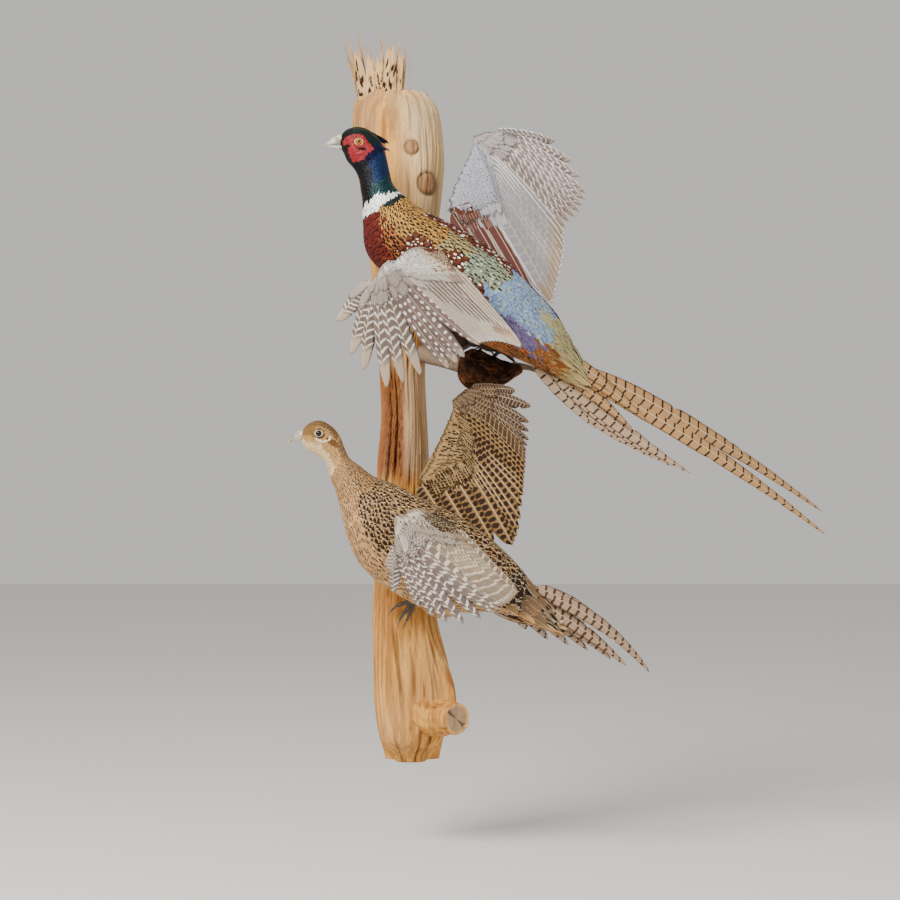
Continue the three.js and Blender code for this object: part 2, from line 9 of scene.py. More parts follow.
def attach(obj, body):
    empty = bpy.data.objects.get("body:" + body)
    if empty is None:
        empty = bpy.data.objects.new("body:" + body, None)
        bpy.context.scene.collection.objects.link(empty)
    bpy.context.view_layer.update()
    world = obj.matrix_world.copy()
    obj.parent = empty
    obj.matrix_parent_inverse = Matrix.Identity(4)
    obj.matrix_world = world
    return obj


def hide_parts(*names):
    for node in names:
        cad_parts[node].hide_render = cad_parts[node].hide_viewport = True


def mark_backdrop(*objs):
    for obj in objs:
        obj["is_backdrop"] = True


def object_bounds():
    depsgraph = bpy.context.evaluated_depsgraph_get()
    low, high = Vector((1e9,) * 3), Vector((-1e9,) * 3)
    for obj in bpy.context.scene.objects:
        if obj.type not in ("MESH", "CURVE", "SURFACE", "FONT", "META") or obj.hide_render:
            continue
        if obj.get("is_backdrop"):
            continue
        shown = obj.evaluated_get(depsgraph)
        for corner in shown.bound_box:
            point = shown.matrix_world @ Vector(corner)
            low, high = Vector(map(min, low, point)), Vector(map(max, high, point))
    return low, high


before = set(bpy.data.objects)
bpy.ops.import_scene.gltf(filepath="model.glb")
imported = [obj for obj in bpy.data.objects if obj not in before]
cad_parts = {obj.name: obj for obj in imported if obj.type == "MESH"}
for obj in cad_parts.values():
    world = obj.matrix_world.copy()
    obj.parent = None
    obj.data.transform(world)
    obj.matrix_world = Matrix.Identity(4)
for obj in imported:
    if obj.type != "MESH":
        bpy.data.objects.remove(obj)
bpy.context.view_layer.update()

bl_info = {
    "name": "Pheasant Wall Mount",
    "version": (1, 0, 0),
    "blender": (4, 5, 0),
    "location": "3D View > Sidebar > Pheasants",
    "description": "Builds a mounted cock and hen pheasant on a driftwood log",
    "category": "Add Mesh",
}

MM = 0.001
BODY = "root"
LAYERS = ("ground", "mark", "heart", "fringe")  # the colours of a small feather
SQUARENESS = 2.2     # exponent of the body's oval section
QUILLS = 22          # 10 primaries and 12 secondaries on a wing
WRIST = 9.5          # place in the row of quills where the wrist stands
PATCH = 0.003        # side of a small feather's patch on the bake's map
LAST_STATION = 18.6  # place on the body where the bake's map ends
TIP_LIFT = 0.27      # how far feather tips stand off the skin, as a share of the plumage's depth
MID_HEAD = -160      # Y of the heads' middle in millimetres
HEN_EYE_RING = 7.2   # how far the hen's feathers stay from an eye's centre, in millimetres

# Stations down a bird's body, from the bill's root to the tail's root, in millimetres and degrees:
# centre x, y, z, half height, half width, lean away from upright, roll towards the room.
COCK_BODY = [
    [-75, -155, 3, 8, 6.5, 0, 0], [-70, -156, 3, 15, 10, 3, 0], [-64, -157, 0, 22, 14.5, 7, 0],
    [-57, -158, -2, 26, 17.5, 12, 0], [-49, -159, -6, 28, 18.5, 19, 0],
    [-42, -160, -12, 28, 18, 29, 0], [-36, -161, -21, 27, 18, 39, 0],
    [-32, -162, -33, 25, 19, 48, 0], [-29, -163, -49, 24, 21, 57, 0],
    [-25, -165, -66, 25, 25, 62, 12], [-17, -168, -90, 36, 34, 55, 24],
    [-4, -172, -117, 49, 46, 48, 35], [30, -176, -143, 55, 53, 43, 42],
    [73, -178, -171, 58, 56, 41, 45], [112, -178, -203, 60, 56, 41, 45],
    [150, -174, -231, 52, 49, 42, 46], [185, -169, -256, 42, 42, 43, 47],
    [211, -164, -280, 28, 32, 43, 48], [233, -160, -301, 16, 24, 43, 48],
]
HEN_BODY = [
    [-127, -150, -387, 7, 5, 6, 0], [-122, -151, -386, 14, 9, 6, 0],
    [-115, -152, -387, 20, 13, 6, 0], [-106, -153, -388, 23, 15.5, 7, 0],
    [-98, -154, -392, 24, 16, 11, 0], [-90, -155, -398, 23, 15.5, 17, 0],
    [-84, -156, -407, 22, 15.5, 24, 0], [-80, -157, -418, 21, 17, 29, 0],
    [-75, -158, -431, 21, 20, 37, 0], [-66, -159, -441, 24, 24, 46, 8],
    [-52, -160, -463, 34, 34, 44, 16], [-33, -162, -488, 51, 48, 40, 25],
    [-7, -164, -515, 65, 55, 38, 32], [32, -165, -539, 72, 58, 37, 35],
    [74, -165, -563, 70, 56, 37, 35], [112, -164, -579, 55, 48, 37, 35],
    [144, -162, -591, 38, 38, 36, 36], [171, -160, -606, 23, 30, 35, 38],
    [193, -158, -619, 14, 23, 35, 40],
]
# Depth of the plumage and length of its feathers by station, in millimetres.
COAT_DEPTH = [[0, 0.4], [2, 0.8], [6, 1.2], [8.5, 2.0], [10, 3.4], [12, 4.6], [18, 5.4]]
FEATHER_LENGTH = [[0, 1.8], [2, 2.6], [4.5, 3.6], [6.5, 5.2], [8.5, 8], [10, 13], [12, 17],
                  [14.5, 20], [18, 25]]

# Eyes' centres in millimetres, the one to the room first. The bare face's outline round the cock's
# eye: angle in degrees and radius in millimetres.
COCK_EYES = [[-50, -171.5, 1], [-50, -146.5, 1]]
HEN_EYES = [[-103, -168, -383], [-103, -138, -383]]
WATTLE = [[11, 10.7], [66, 10.3], [100, 10.2], [138, 14], [160, 19], [172, 22], [185, 22],
          [197, 18.4], [206, 17], [218, 18.5], [233, 22.4], [252, 27.4], [261, 27.8], [275, 26.5],
          [287, 24.6], [299, 21.5], [319, 20.6], [330, 22.5], [336, 23], [341, 19], [352, 13.5]]

# Wings: the arm's joints, the bend of the skin fold, the side that faces outward, and keyed feather
# tips. A key is a place in the row of quills: 0 the outermost primary, 21 the innermost secondary.
COCK_WING_LEFT = {
    "shoulder": [44, -212, -146], "elbow": [78, -254, -172], "lead": [24, -281, -136],
    "wrist": [-2, -300, -171], "hand": [-26, -291, -189], "outward": [0.2, -1, 0.3],
    "tips": [
        [-1, -58, -280, -188], [0, -75, -261, -241], [1, -57, -245, -283],
        [2, -41, -232, -302], [3, -12, -222, -325], [5, 32, -215, -308], [6, 69, -215, -299],
        [8, 89, -218, -284], [9, 109, -222, -268], [15, 135, -227, -264], [21, 162, -224, -271],
    ],
    "thick": 10,
}
COCK_WING_RIGHT = {
    "shoulder": [64, -156, -90], "elbow": [126, -140, -72], "lead": [59, -132, -80],
    "wrist": [108, -118, 12], "hand": [130, -138, 18], "outward": [-0.3, -1, 0.2],
    "tips": [
        [-1, 172, -185, 9], [0, 206, -200, -2], [1, 228, -205, -28], [2, 239, -205, -49],
        [3, 248, -200, -69], [6, 241, -180, -92], [9, 225, -150, -110], [12, 224, -132, -141],
        [15, 218, -125, -171], [18, 210, -128, -195], [21, 206, -132, -210],
    ],
    "thick": 10,
}
HEN_WING_LEFT = {
    "shoulder": [42, -210, -487], "elbow": [78, -236, -505], "lead": [26, -262, -468],
    "wrist": [8, -268, -493], "hand": [0, -262, -522], "outward": [0.2, -1, 0.3],
    "tips": [
        [-1, -7, -245, -556], [0, -2, -225, -590], [1, 31, -212, -610], [2, 48, -206, -622],
        [3, 66, -202, -630], [4, 88, -200, -632], [5, 110, -200, -625], [6, 129, -202, -618],
        [8, 138, -204, -608], [12, 148, -206, -602], [21, 157, -206, -590],
    ],
    "thick": 9,
}
HEN_WING_RIGHT = {
    "shoulder": [24, -150, -450], "elbow": [86, -135, -425], "lead": [64, -134, -379],
    "wrist": [78, -122, -342], "hand": [96, -136, -324], "outward": [-0.3, -1, 0.2],
    "tips": [
        [-1, 128, -156, -320], [0, 155, -170, -326], [1, 176, -178, -347],
        [2, 174, -172, -368], [4, 175, -160, -392], [6, 172, -150, -406], [9, 172, -142, -422],
        [12, 170, -134, -442], [15, 168, -128, -465], [18, 161, -128, -511],
        [21, 152, -132, -532],
    ],
    "thick": 9,
}

# Looks of the quills, for the outer and inner primaries and the outer and inner secondaries:
# ground, 1 for spots or 0 for bars, the bars' colour and number, the plain tip's colour and where
# it begins, the edge's colour and width, and the bars' share, slant, spread and strength.
QUILL_LOOKS = {
    "cock near": [
        ("#7d6c62", 0, "#f0e9de", 12, "#c9b29c", 0.7, "#a89a8c", 0.05, 0.36, 0.8, 0.86, 1.0),
        ("#7a6660", 1, "#f2ebe2", 14, "#bda794", 0.84, "#b5a79b", 0.06, 0.4, 0.5, 0.9, 1.0),
        ("#bcae9f", 0, "#d8cdc0", 12, "#e6ddd0", 0.8, "#6b5848", 0.12, 0.25, 0.6, 0.7, 0.3),
        ("#6e3325", 0, "#5c2a1c", 8, "#b79f88", 0.72, "#d8c9b2", 0.38, 0.3, 0.5, 0.6, 0.1),
    ],
    "cock far": [
        ("#857876", 0, "#e9dfdc", 12, "#b39d89", 0.86, "#e0d6d3", 0.1, 0.3, 0.8, 0.95, 0.95),
        ("#82746f", 0, "#e2d8d5", 12, "#a8917c", 0.84, "#d9cfcb", 0.1, 0.3, 0.78, 0.9, 0.85),
        ("#8f8b8c", 0, "#b5b2b2", 12, "#957f69", 0.74, "#e4e0dd", 0.2, 0.25, 0.6, 0.7, 0.4),
        ("#5f3530", 0, "#4a2420", 8, "#7a5a4a", 0.9, "#bdb09b", 0.36, 0.3, 0.5, 0.6, 0.1),
    ],
    "hen near": [
        ("#7a6a66", 0, "#eee6da", 12, "#a5958a", 0.92, "#bfb0a2", 0.05, 0.34, 0.66, 0.92, 1.0),
        ("#84736a", 0, "#ece2d2", 11, "#b09c86", 0.9, "#c9b79f", 0.06, 0.36, 0.64, 0.95, 0.95),
        ("#95806c", 0, "#e6d8c2", 12, "#bca58a", 0.9, "#d0bc9e", 0.12, 0.36, 0.6, 0.95, 0.85),
        ("#877260", 0, "#dccbb0", 11, "#b09a80", 0.88, "#d0bc9c", 0.16, 0.36, 0.6, 0.9, 0.8),
    ],
    "hen far": [
        ("#4e3b30", 0, "#a99074", 17, "#6c5947", 0.92, "#a08a70", 0.07, 0.26, 0.7, 0.95, 0.9),
        ("#4f3928", 0, "#9e8058", 16, "#71583f", 0.94, "#a0835a", 0.09, 0.3, 0.66, 0.95, 0.9),
        ("#8f6c42", 1, "#2a180b", 15, "#80623c", 0.97, "#ae8c5a", 0.1, 0.66, 0.5, 0.98, 1.0),
        ("#8b683d", 1, "#2a180b", 14, "#80623c", 0.97, "#a98654", 0.12, 0.66, 0.5, 0.98, 1.0),
    ],
}

# Looks of the greater coverts on the hand, the outer and the inner arm: ground, spots or bars, the
# bars' colour and number, the edge's colour and width, and the bars' strength.
GREATER_LOOKS = {
    "cock near": [
        ("#9d9087", 0, "#cfc5bb", 12, "#cabfb4", 0.1, 0.35),
        ("#c2b8ae", 0, "#d3cac0", 9, "#8d7f73", 0.09, 0.2),
        ("#a1887a", 0, "#6b3a30", 5, "#d8cab4", 0.3, 0.2),
    ],
    "cock far": [
        ("#9a8f8e", 0, "#d6cdca", 13, "#c9c0be", 0.08, 0.6),
        ("#a9a9ae", 0, "#bebec2", 9, "#cfced2", 0.14, 0.3),
        ("#6a403a", 0, "#5a2c26", 6, "#bdb3a0", 0.34, 0.3),
    ],
    "hen near": [
        ("#8f7f76", 0, "#e6dcd0", 8, "#c9bcae", 0.05, 0.9),
        ("#a0907f", 1, "#eae0d2", 7, "#cbbcaa", 0.08, 0.9),
        ("#a08a70", 1, "#38240f", 7, "#c9b28e", 0.14, 0.8),
    ],
    "hen far": [
        ("#503c2c", 0, "#95795a", 9, "#7e6748", 0.06, 0.9),
        ("#937347", 1, "#2a180b", 8, "#a88757", 0.1, 1.0),
        ("#916e42", 1, "#2a180b", 8, "#a3804f", 0.1, 1.0),
    ],
}

# Tails: root, spread across the fan, facing, and rows of place across the fan, tip, half width and
# how far the middle bows.
COCK_TAIL = {
    "root": [214, -160, -294], "across": [12, 0, 14], "face": [0.25, -1, 0.35],
    "feathers": [
        [-1.3, [263, -158, -377], 10, -3], [-1.1, [301, -150, -397], 10, -8],
        [-0.9, [340, -143, -416], 11, -10], [-0.7, [366, -138, -427], 10, -10],
        [-0.5, [391, -134, -436], 12, -9], [-0.1, [312, -155, -378], 10, 2],
        [0.1, [577, -96, -519], 12.5, 9], [0.6, [574, -86, -488], 12.5, 9],
        [0.7, [330, -156, -366], 11, 3], [0.9, [296, -158, -338], 9, 3],
    ],
}
HEN_TAIL = {
    "root": [170, -160, -602], "across": [11, 0, 16], "face": [0.2, -1, 0.35],
    "feathers": [
        [-1.1, [146, -150, -629], 9, 0], [-0.9, [172, -146, -643], 10, 0],
        [-0.7, [200, -142, -657], 10, 2], [-0.4, [228, -138, -665], 10, 3],
        [-0.2, [254, -135, -672], 10, 4], [0, [285, -132, -684], 10, 5],
        [0.2, [305, -130, -693], 10, 6], [0.8, [336, -134, -701], 10, 14],
        [0.9, [290, -142, -656], 10, 9], [1, [250, -146, -628], 9, 5],
    ],
}

# Legs: points and radii of the thigh and the shank, and the points of every toe.
LEGS = {
    "cock_leg_left": {
        "thigh": [[[78, -168, -212], [72, -148, -238], [78, -118, -256], [90, -96, -259]],
                  [34, 27, 13, 5]],
        "shank": [[[86, -102, -258], [96, -84, -260], [104, -72, -261]], [5.2, 3.6, 4.2]],
        "toes": [[[104, -72, -261], [90, -70, -262], [74, -64, -263], [66, -60, -268]],
                 [[104, -72, -261], [92, -82, -262], [80, -86, -268], [73, -84, -277]],
                 [[104, -72, -261], [96, -60, -262], [86, -48, -268], [80, -42, -276]],
                 [[103, -71, -261], [118, -66, -263], [126, -62, -270]]],
    },
    "cock_leg_right": {
        "thigh": [[[128, -158, -232], [124, -142, -250], [122, -116, -262], [130, -92, -266]],
                  [28, 21, 11, 5]],
        "shank": [[[127, -98, -265], [134, -78, -266], [141, -66, -270]], [5.2, 3.6, 4.2]],
        "toes": [[[141, -66, -270], [128, -68, -268], [116, -76, -264], [108, -84, -266]],
                 [[141, -66, -270], [130, -58, -268], [119, -54, -264], [111, -52, -267]],
                 [[141, -66, -270], [134, -52, -273], [128, -44, -280], [124, -40, -288]],
                 [[140, -66, -270], [153, -64, -279], [160, -62, -287]]],
    },
    "hen": {
        "thigh": [[[76, -150, -590], [56, -140, -606], [38, -120, -607], [28, -108, -606]],
                  [34, 24, 12, 6]],
        "shank": [[[31, -113, -605], [26, -106, -610], [19, -96, -609]], [5, 3.4, 4]],
        "toes": [[[19, -97, -609], [8, -95, -612], [-2, -93, -616], [-7, -91, -620]],
                 [[19, -97, -609], [12, -97, -620], [5, -96, -629], [2, -95, -635]],
                 [[20, -97, -609], [19, -97, -620], [14, -97, -630], [11, -96, -636]]],
    },
}

# The log: height, left edge, right edge and how far its front stands off the wall. Its broken top:
# foot, tip and half width of the wormed strips and of the splinters.
LOG = [
    [92, -53, 33, 42], [84, -63, 48, 56], [60, -66, 57, 66], [0, -63, 63, 74],
    [-50, -53, 59, 76], [-90, -48, 54, 76], [-150, -40, 47, 74], [-220, -34, 38, 72],
    [-300, -28, 35, 72], [-360, -25, 38, 72], [-420, -31, 41, 76], [-500, -34, 42, 80],
    [-580, -36, 46, 84], [-640, -38, 51, 88], [-700, -37, 65, 88], [-750, -36, 68, 86],
    [-790, -31, 64, 84], [-820, -24, 58, 78], [-834, -18, 54, 66],
]
STRIPS = [
    [[-47, -40, 76], [-60, -40, 150], 7.5], [[-36, -42, 76], [-41, -42, 141], 8.5],
    [[-25, -41, 76], [-28, -41, 138], 8.0], [[-13, -43, 76], [-12, -43, 156], 8.5],
    [[-3, -40, 76], [3, -40, 146], 6.0],
]
SPLINTERS = [
    [[-52, -26, 84], [-79, -24, 160], 5], [[-49, -34, 84], [-73, -34, 166], 5],
    [[-43, -28, 84], [-58, -26, 171], 5.5], [[-36, -38, 84], [-52, -40, 169], 6],
    [[-28, -30, 84], [-42, -28, 158], 6.5], [[-20, -38, 84], [-26, -42, 168], 6],
    [[-13, -28, 84], [-14, -26, 169], 6], [[-5, -36, 84], [1, -38, 160], 6.5],
    [[3, -28, 84], [9, -26, 152], 4], [[16, -34, 82], [12, -34, 160], 2.2],
]

# The burl: x, top, bottom and depth. Its branch and twig: points, radii and how grey they are.
BURL = [
    [80, -290, -302, 5], [83, -280, -310, 15], [92, -270, -320, 24], [108, -268, -323, 30],
    [126, -274, -323, 32], [141, -281, -318, 29], [154, -285, -309, 23], [165, -288, -302, 13],
    [169, -292, -299, 4],
]
BRANCH = [[24, -48, -270], [60, -60, -282], [98, -70, -292]], [13, 11, 13], 1.0
TWIG = [[155, -72, -290], [178, -70, -293], [202, -66, -303]], [6, 4, 2.2], 0.75
# The cut branch at the log's foot: points and radii.
STUB = [
    [[18, -46, -746], [33, -55, -758], [50, -68, -767], [68, -88, -768], [80, -102, -768]],
    [30, 36, 32, 25, 22.5],
]


# ------------------------------------------------------------------------------ small maths
def shade(code):
    """A colour written as #rrggbb, as linear light."""
    v = np.array([int(code[i:i + 2], 16) for i in (1, 3, 5)]) / 255
    return np.where(v <= 0.04045, v / 12.92, ((v + 0.055) / 1.055) ** 2.4)


def unit(v):
    """Vectors divided by their lengths."""
    return v / np.maximum(np.linalg.norm(v, axis=-1, keepdims=True), 1e-12)


def dot(a, b):
    """Scalar products along the last axis, kept as a column."""
    return np.sum(a * b, axis=-1, keepdims=True)


def pile(*parts):
    """Arrays stacked along a new last axis."""
    return np.stack(parts, -1)


def ramp(x, lo, hi):
    """0 below lo, 1 above hi, and a smooth S between them."""
    t = np.clip((x - lo) / (hi - lo), 0, 1)
    return t * t * (3 - 2 * t)


def row_at(rows, place):
    """Catmull-Rom curve through the rows, read at places counted in rows and run straight on past
    both ends."""
    rows = np.asarray(rows, float)
    place = np.asarray(place, float)
    last = len(rows) - 1
    inside = np.clip(place, 0, last)
    k = np.clip(np.floor(inside).astype(int), 0, last - 1)
    t = (inside - k)[..., None]
    p0, p1, p2, p3 = (rows[np.clip(k + i, 0, last)] for i in (-1, 0, 1, 2))
    curve = 0.5 * (2 * p1 + (p2 - p0) * t + (2 * p0 - 5 * p1 + 4 * p2 - p3) * t * t
                   + (3 * p1 - p0 - 3 * p2 + p3) * t ** 3)
    beyond = (place - inside)[..., None]
    slope = np.where(beyond < 0, rows[1] - rows[0], rows[-1] - rows[-2])
    return curve + slope * beyond


def wave_noise(p, scale, seed=0, octaves=3):
    """Soft noise from -1 to 1: sums of sines along turned directions, halved at each octave."""
    rng = np.random.default_rng(seed)
    total = np.zeros(p.shape[:-1])
    weight = 0
    for octave in range(octaves):
        for _ in range(4):
            direction = rng.normal(size=p.shape[-1])
            direction *= 2 ** octave / scale / np.linalg.norm(direction) * rng.uniform(0.7, 1.3)
            total += np.sin(p @ direction * 2 * math.pi + rng.uniform(0, 6.3)) / 2 ** octave
            weight += 0.55 / 2 ** octave
    return np.clip(total / weight, -1, 1)


def rows_and_turns(first, last, rows, columns):
    """Two grids: places from first to last down the rows, and angles right round the columns."""
    return np.meshgrid(np.linspace(first, last, rows),
                       np.linspace(0, 2 * math.pi, columns, endpoint=False), indexing="ij")


def bowed(start, end, bow, rise=0.0):
    """A path from start to end that bows by a parabola and rises by half a sine at its middle."""
    def path(t):
        t = np.asarray(t)[..., None]
        return start + (end - start) * t + bow * 4 * t * (1 - t) + rise * np.sin(t * math.pi)

    return path


# ------------------------------------------------------------------------------ meshes
def grid_quads(index, wrap=False):
    """Quads between the neighbours of an index grid; wrap joins the last column to the first."""
    if wrap:
        index = np.concatenate([index, index[:, :1]], axis=1)
    corners = [index[:-1, :-1], index[:-1, 1:], index[1:, 1:], index[1:, :-1]]
    return np.stack(corners, -1).reshape(-1, 4)


def batch(points, quads, tris=(), local=None, bake=None, colours=None):
    """A stretch of mesh before it is joined to others: points, faces, maps and colours."""
    points = np.asarray(points, float).reshape(-1, 3)
    return {
        "points": points,
        "quads": np.asarray(quads, int).reshape(-1, 4),
        "tris": np.asarray(tris, int).reshape(-1, 3),
        "local": np.zeros((len(points), 2)) if local is None else local.reshape(-1, 2),
        "bake": None if bake is None else bake.reshape(-1, 2),
        "colours": colours or {},
    }


def make_piece(name, batches, finish, slot, nodes=()):
    """Joins batches into one mesh object that rides on the body and stands for CAD nodes."""
    offsets = np.cumsum([0] + [len(b["points"]) for b in batches])
    points = np.concatenate([b["points"] for b in batches])
    quads = np.concatenate([b["quads"] + o for b, o in zip(batches, offsets)])
    tris = np.concatenate([b["tris"] + o for b, o in zip(batches, offsets)])
    corners = np.concatenate([quads.ravel(), tris.ravel()])
    sizes = np.concatenate([np.full(len(quads), 4), np.full(len(tris), 3)])
    mesh = bpy.data.meshes.new(name)
    mesh.vertices.add(len(points))
    mesh.vertices.foreach_set("co", points.astype(np.float32).ravel())
    mesh.loops.add(len(corners))
    mesh.loops.foreach_set("vertex_index", corners.astype(np.int32))
    mesh.polygons.add(len(sizes))
    mesh.polygons.foreach_set("loop_start", (np.cumsum(sizes) - sizes).astype(np.int32))
    mesh.update(calc_edges=True)
    if all(b["bake"] is not None for b in batches):
        for layer_name, key in (("OFBake", "bake"), ("Vane", "local")):
            layer = mesh.uv_layers.new(name=layer_name)
            spread = np.concatenate([b[key] for b in batches])
            layer.data.foreach_set("uv", spread[corners].astype(np.float32).ravel())
    for key in batches[0]["colours"]:
        values = np.concatenate([
            np.broadcast_to(b["colours"][key], (len(b["points"]), 4)) for b in batches
        ])
        attribute = mesh.attributes.new(key, "FLOAT_COLOR", "POINT")
        attribute.data.foreach_set("color", values.astype(np.float32).ravel())
    mesh.polygons.foreach_set("use_smooth", np.ones(len(sizes), bool))
    mesh.materials.append(finish)
    piece = bpy.data.objects.new(name, mesh)
    bpy.context.collection.objects.link(piece)
    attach(piece, BODY)
    if nodes:
        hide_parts(*nodes)
    return piece


def side_by_side(batches):
    """Lays the batches' shares of the bake's map side by side, each as wide as its share of the
    points."""
    sizes = np.array([len(b["points"]) ** 0.5 for b in batches])
    starts = np.cumsum(sizes) - sizes
    for made, start, size in zip(batches, starts / sizes.sum(), sizes / sizes.sum()):
        made["bake"] = made["bake"] * [size * 0.96, 1] + [start, 0]
    return batches


def inside_out(points, faces):
    """True for a closed shell whose faces turn inward, because its signed volume is under 0."""
    a, b, c = (points[faces[:, i]] - points.mean(0) for i in (0, 1, 2))
    return np.einsum("ij,ij->i", a, np.cross(b, c)).sum() < 0


def closed_tube(rings, colours=None, island=(0, 0, 1, 1)):
    """A batch through rings of points, each ring closed on itself, with a fan over both ends.

    rings is rows x columns x 3 and runs so that its faces point out.
    """
    rows, columns = rings.shape[:2]
    index = np.arange(rows * columns).reshape(rows, columns)
    ends = np.array([rows * columns, rows * columns + 1])
    around = np.roll(index, -1, axis=1)
    tris = np.concatenate([
        pile(np.full(columns, ends[0]), around[0], index[0]),
        pile(np.full(columns, ends[1]), index[-1], around[-1]),
    ])
    points = np.concatenate([rings.reshape(-1, 3), [rings[0].mean(0), rings[-1].mean(0)]])
    quads = grid_quads(index, wrap=True)
    if inside_out(points, np.concatenate([quads[:, :3], quads[:, [0, 2, 3]], tris])):
        quads, tris = quads[:, ::-1], tris[:, ::-1]
    u, v = np.meshgrid(np.linspace(0, 1, rows), np.linspace(0, 1, columns), indexing="ij")
    spread = pile(u, v).reshape(-1, 2)
    spread = np.concatenate([spread, [[0, 0.5], [1, 0.5]]])
    spread = np.array(island[:2]) + spread * np.array(island[2:])
    made = batch(points, quads, tris, spread, spread)
    if colours is not None:
        made["colours"] = {
            key: np.concatenate([c.reshape(-1, 4), c[0, :1], c[-1, :1]])
            for key, c in colours.items()
        }
    return made


def rod_surface(points, radii, flat=1.0):
    """Surface of a round rod: a smooth path through points in millimetres with a radius at each.

    u is the place along the path, counted in points, and v the angle round it.
    """
    rows = np.array([[*p, r] for p, r in zip(points, radii)], float) * MM

    def surface(u, v):
        here = row_at(rows, u)
        ahead, behind = row_at(rows, np.asarray(u) + 0.01), row_at(rows, np.asarray(u) - 0.01)
        along = unit(ahead[..., :3] - behind[..., :3])
        hint = np.where(np.abs(along[..., 1:2]) < 0.95, [0.0, 1.0, 0.0], [1.0, 0.0, 0.0])
        across = unit(np.cross(hint, along))
        third = np.cross(along, across)
        turn = np.asarray(v)[..., None]
        return (here[..., :3] + across * np.cos(turn) * here[..., 3:]
                + third * np.sin(turn) * here[..., 3:] * flat)

    return surface


def rod(points, radii, rows, columns, flat=1.0):
    """A closed rod with a round section, or one made flatter by a factor."""
    surface = rod_surface(points, radii, flat)
    return closed_tube(surface(*rows_and_turns(0, len(points) - 1, rows, columns)))


# ------------------------------------------------------------------------------ body and wings
def body_surface(stations, coat):
    """Surface of a bird's body: a superellipse at every station along a smooth spine.

    u is the station and v the angle: 0 on the back, a quarter turn on the side to the room. coat is
    rows of station and plumage depth in millimetres, by which the skin lies inside the outline.
    """
    rows = np.array(stations, float)
    deep = np.array(coat, float)

    def surface(u, v):
        x, y, z, high, wide, lean, roll = np.moveaxis(row_at(rows, u), -1, 0)
        le, ro = np.radians(lean), np.radians(roll)
        up = pile(np.sin(le) * np.cos(ro), -np.sin(ro), np.cos(le) * np.cos(ro))
        side = pile(-np.sin(le) * np.sin(ro), -np.cos(ro), -np.cos(le) * np.sin(ro))
        c, s = np.cos(v), np.sin(v)
        size = (np.abs(c) ** SQUARENESS + np.abs(s) ** SQUARENESS) ** (-1 / SQUARENESS)
        inset = np.interp(u, deep[:, 0], deep[:, 1])
        high, wide = (np.maximum(k - inset, 1) * MM for k in (high, wide))
        return (pile(x, y, z) * MM + up * (c * size * high)[..., None]
                + side * (s * size * wide)[..., None])

    return surface


def tip_at(wing, place):
    """A feather tip's place: the keyed tips blended smoothly between their keys."""
    keys = np.array([t[0] for t in wing["tips"]], float)
    k = np.clip(np.searchsorted(keys, place, side="right") - 1, 0, len(keys) - 2)
    return row_at([t[1:] for t in wing["tips"]], k + (place - keys[k]) / (keys[k + 1] - keys[k]))


def wing_frame(wing, place):
    """Roots, reaches, facings and front edges of a wing in metres at places in its row of quills.

    Past the innermost quill three more places carry the sheet from the elbow to the shoulder.
    """
    place = np.asarray(place, float)
    hand, wrist, elbow, lead, shoulder = (
        np.array(wing[k], float) for k in ("hand", "wrist", "elbow", "lead", "shoulder"))
    row = np.minimum(place, QUILLS - 1)
    inner = np.clip((place - QUILLS + 1) / 3, 0, 1)[..., None]
    p = row[..., None]
    root = np.where(p <= WRIST, hand + (wrist - hand) * p / WRIST,
                    wrist + (elbow - wrist) * (p - WRIST) / (QUILLS - WRIST))
    reach = tip_at(wing, row) - root
    spread = tip_at(wing, np.minimum(row + 1, QUILLS - 1)) - tip_at(wing, np.maximum(row - 1, -1))
    face = unit(np.cross(reach, spread))
    turn = np.sign(dot(face, np.array(wing["outward"], float)))
    face = face * turn
    folded = unit(np.cross(reach, shoulder - elbow)) * turn
    face = unit(face * (1 - inner) + folded * inner * 1.2)
    root = root + (shoulder - root) * inner
    t = 0.75 * (p - WRIST) / (QUILLS - 1 - WRIST)
    t = np.where(inner > 0, 0.75 + 0.25 * inner, np.clip(t, 0, 1))
    fold = wrist * (1 - t) ** 2 + lead * 2 * t * (1 - t) + shoulder * t ** 2
    ahead = root - reach * 0.05
    front = fold + (ahead - fold) * np.clip(1 - t * 8, 0, 1)
    front = np.where(p <= WRIST, ahead, front)
    share = 1 - 0.35 * inner
    return root * MM, reach * share * MM, face, front * MM


def wing_surface(wing, side=1, raised=0.0):
    """The wing's upper (side 1) or lower (side -1) surface.

    u is the distance in metres from the row of quill roots, less than 0 towards the front edge,
    and v the place in the row. The arm swells it: an ellipse ahead of the roots and a bell behind.
    """
    def surface(u, v):
        root, reach, face, front = wing_frame(wing, v)
        u = np.asarray(u)[..., None]
        ahead = front - root
        depth = np.linalg.norm(ahead, axis=-1, keepdims=True)
        length = np.linalg.norm(reach, axis=-1, keepdims=True)
        flat = np.where(u < 0, root - ahead / depth * u, root + reach / length * u)
        along = np.clip(np.asarray(v)[..., None] / 14, 0, 1)
        thick = wing["thick"] * MM * (0.35 + 0.65 * along) * (0.8 if side > 0 else 0.5)
        before = np.sqrt(np.clip(1 - (u / depth) ** 2, 0, 1))
        behind = np.exp(-(u / (0.2 * length)) ** 2)
        bulge = thick * np.where(u < 0, before, behind)
        return flat + face * side * (bulge + raised)

    return surface


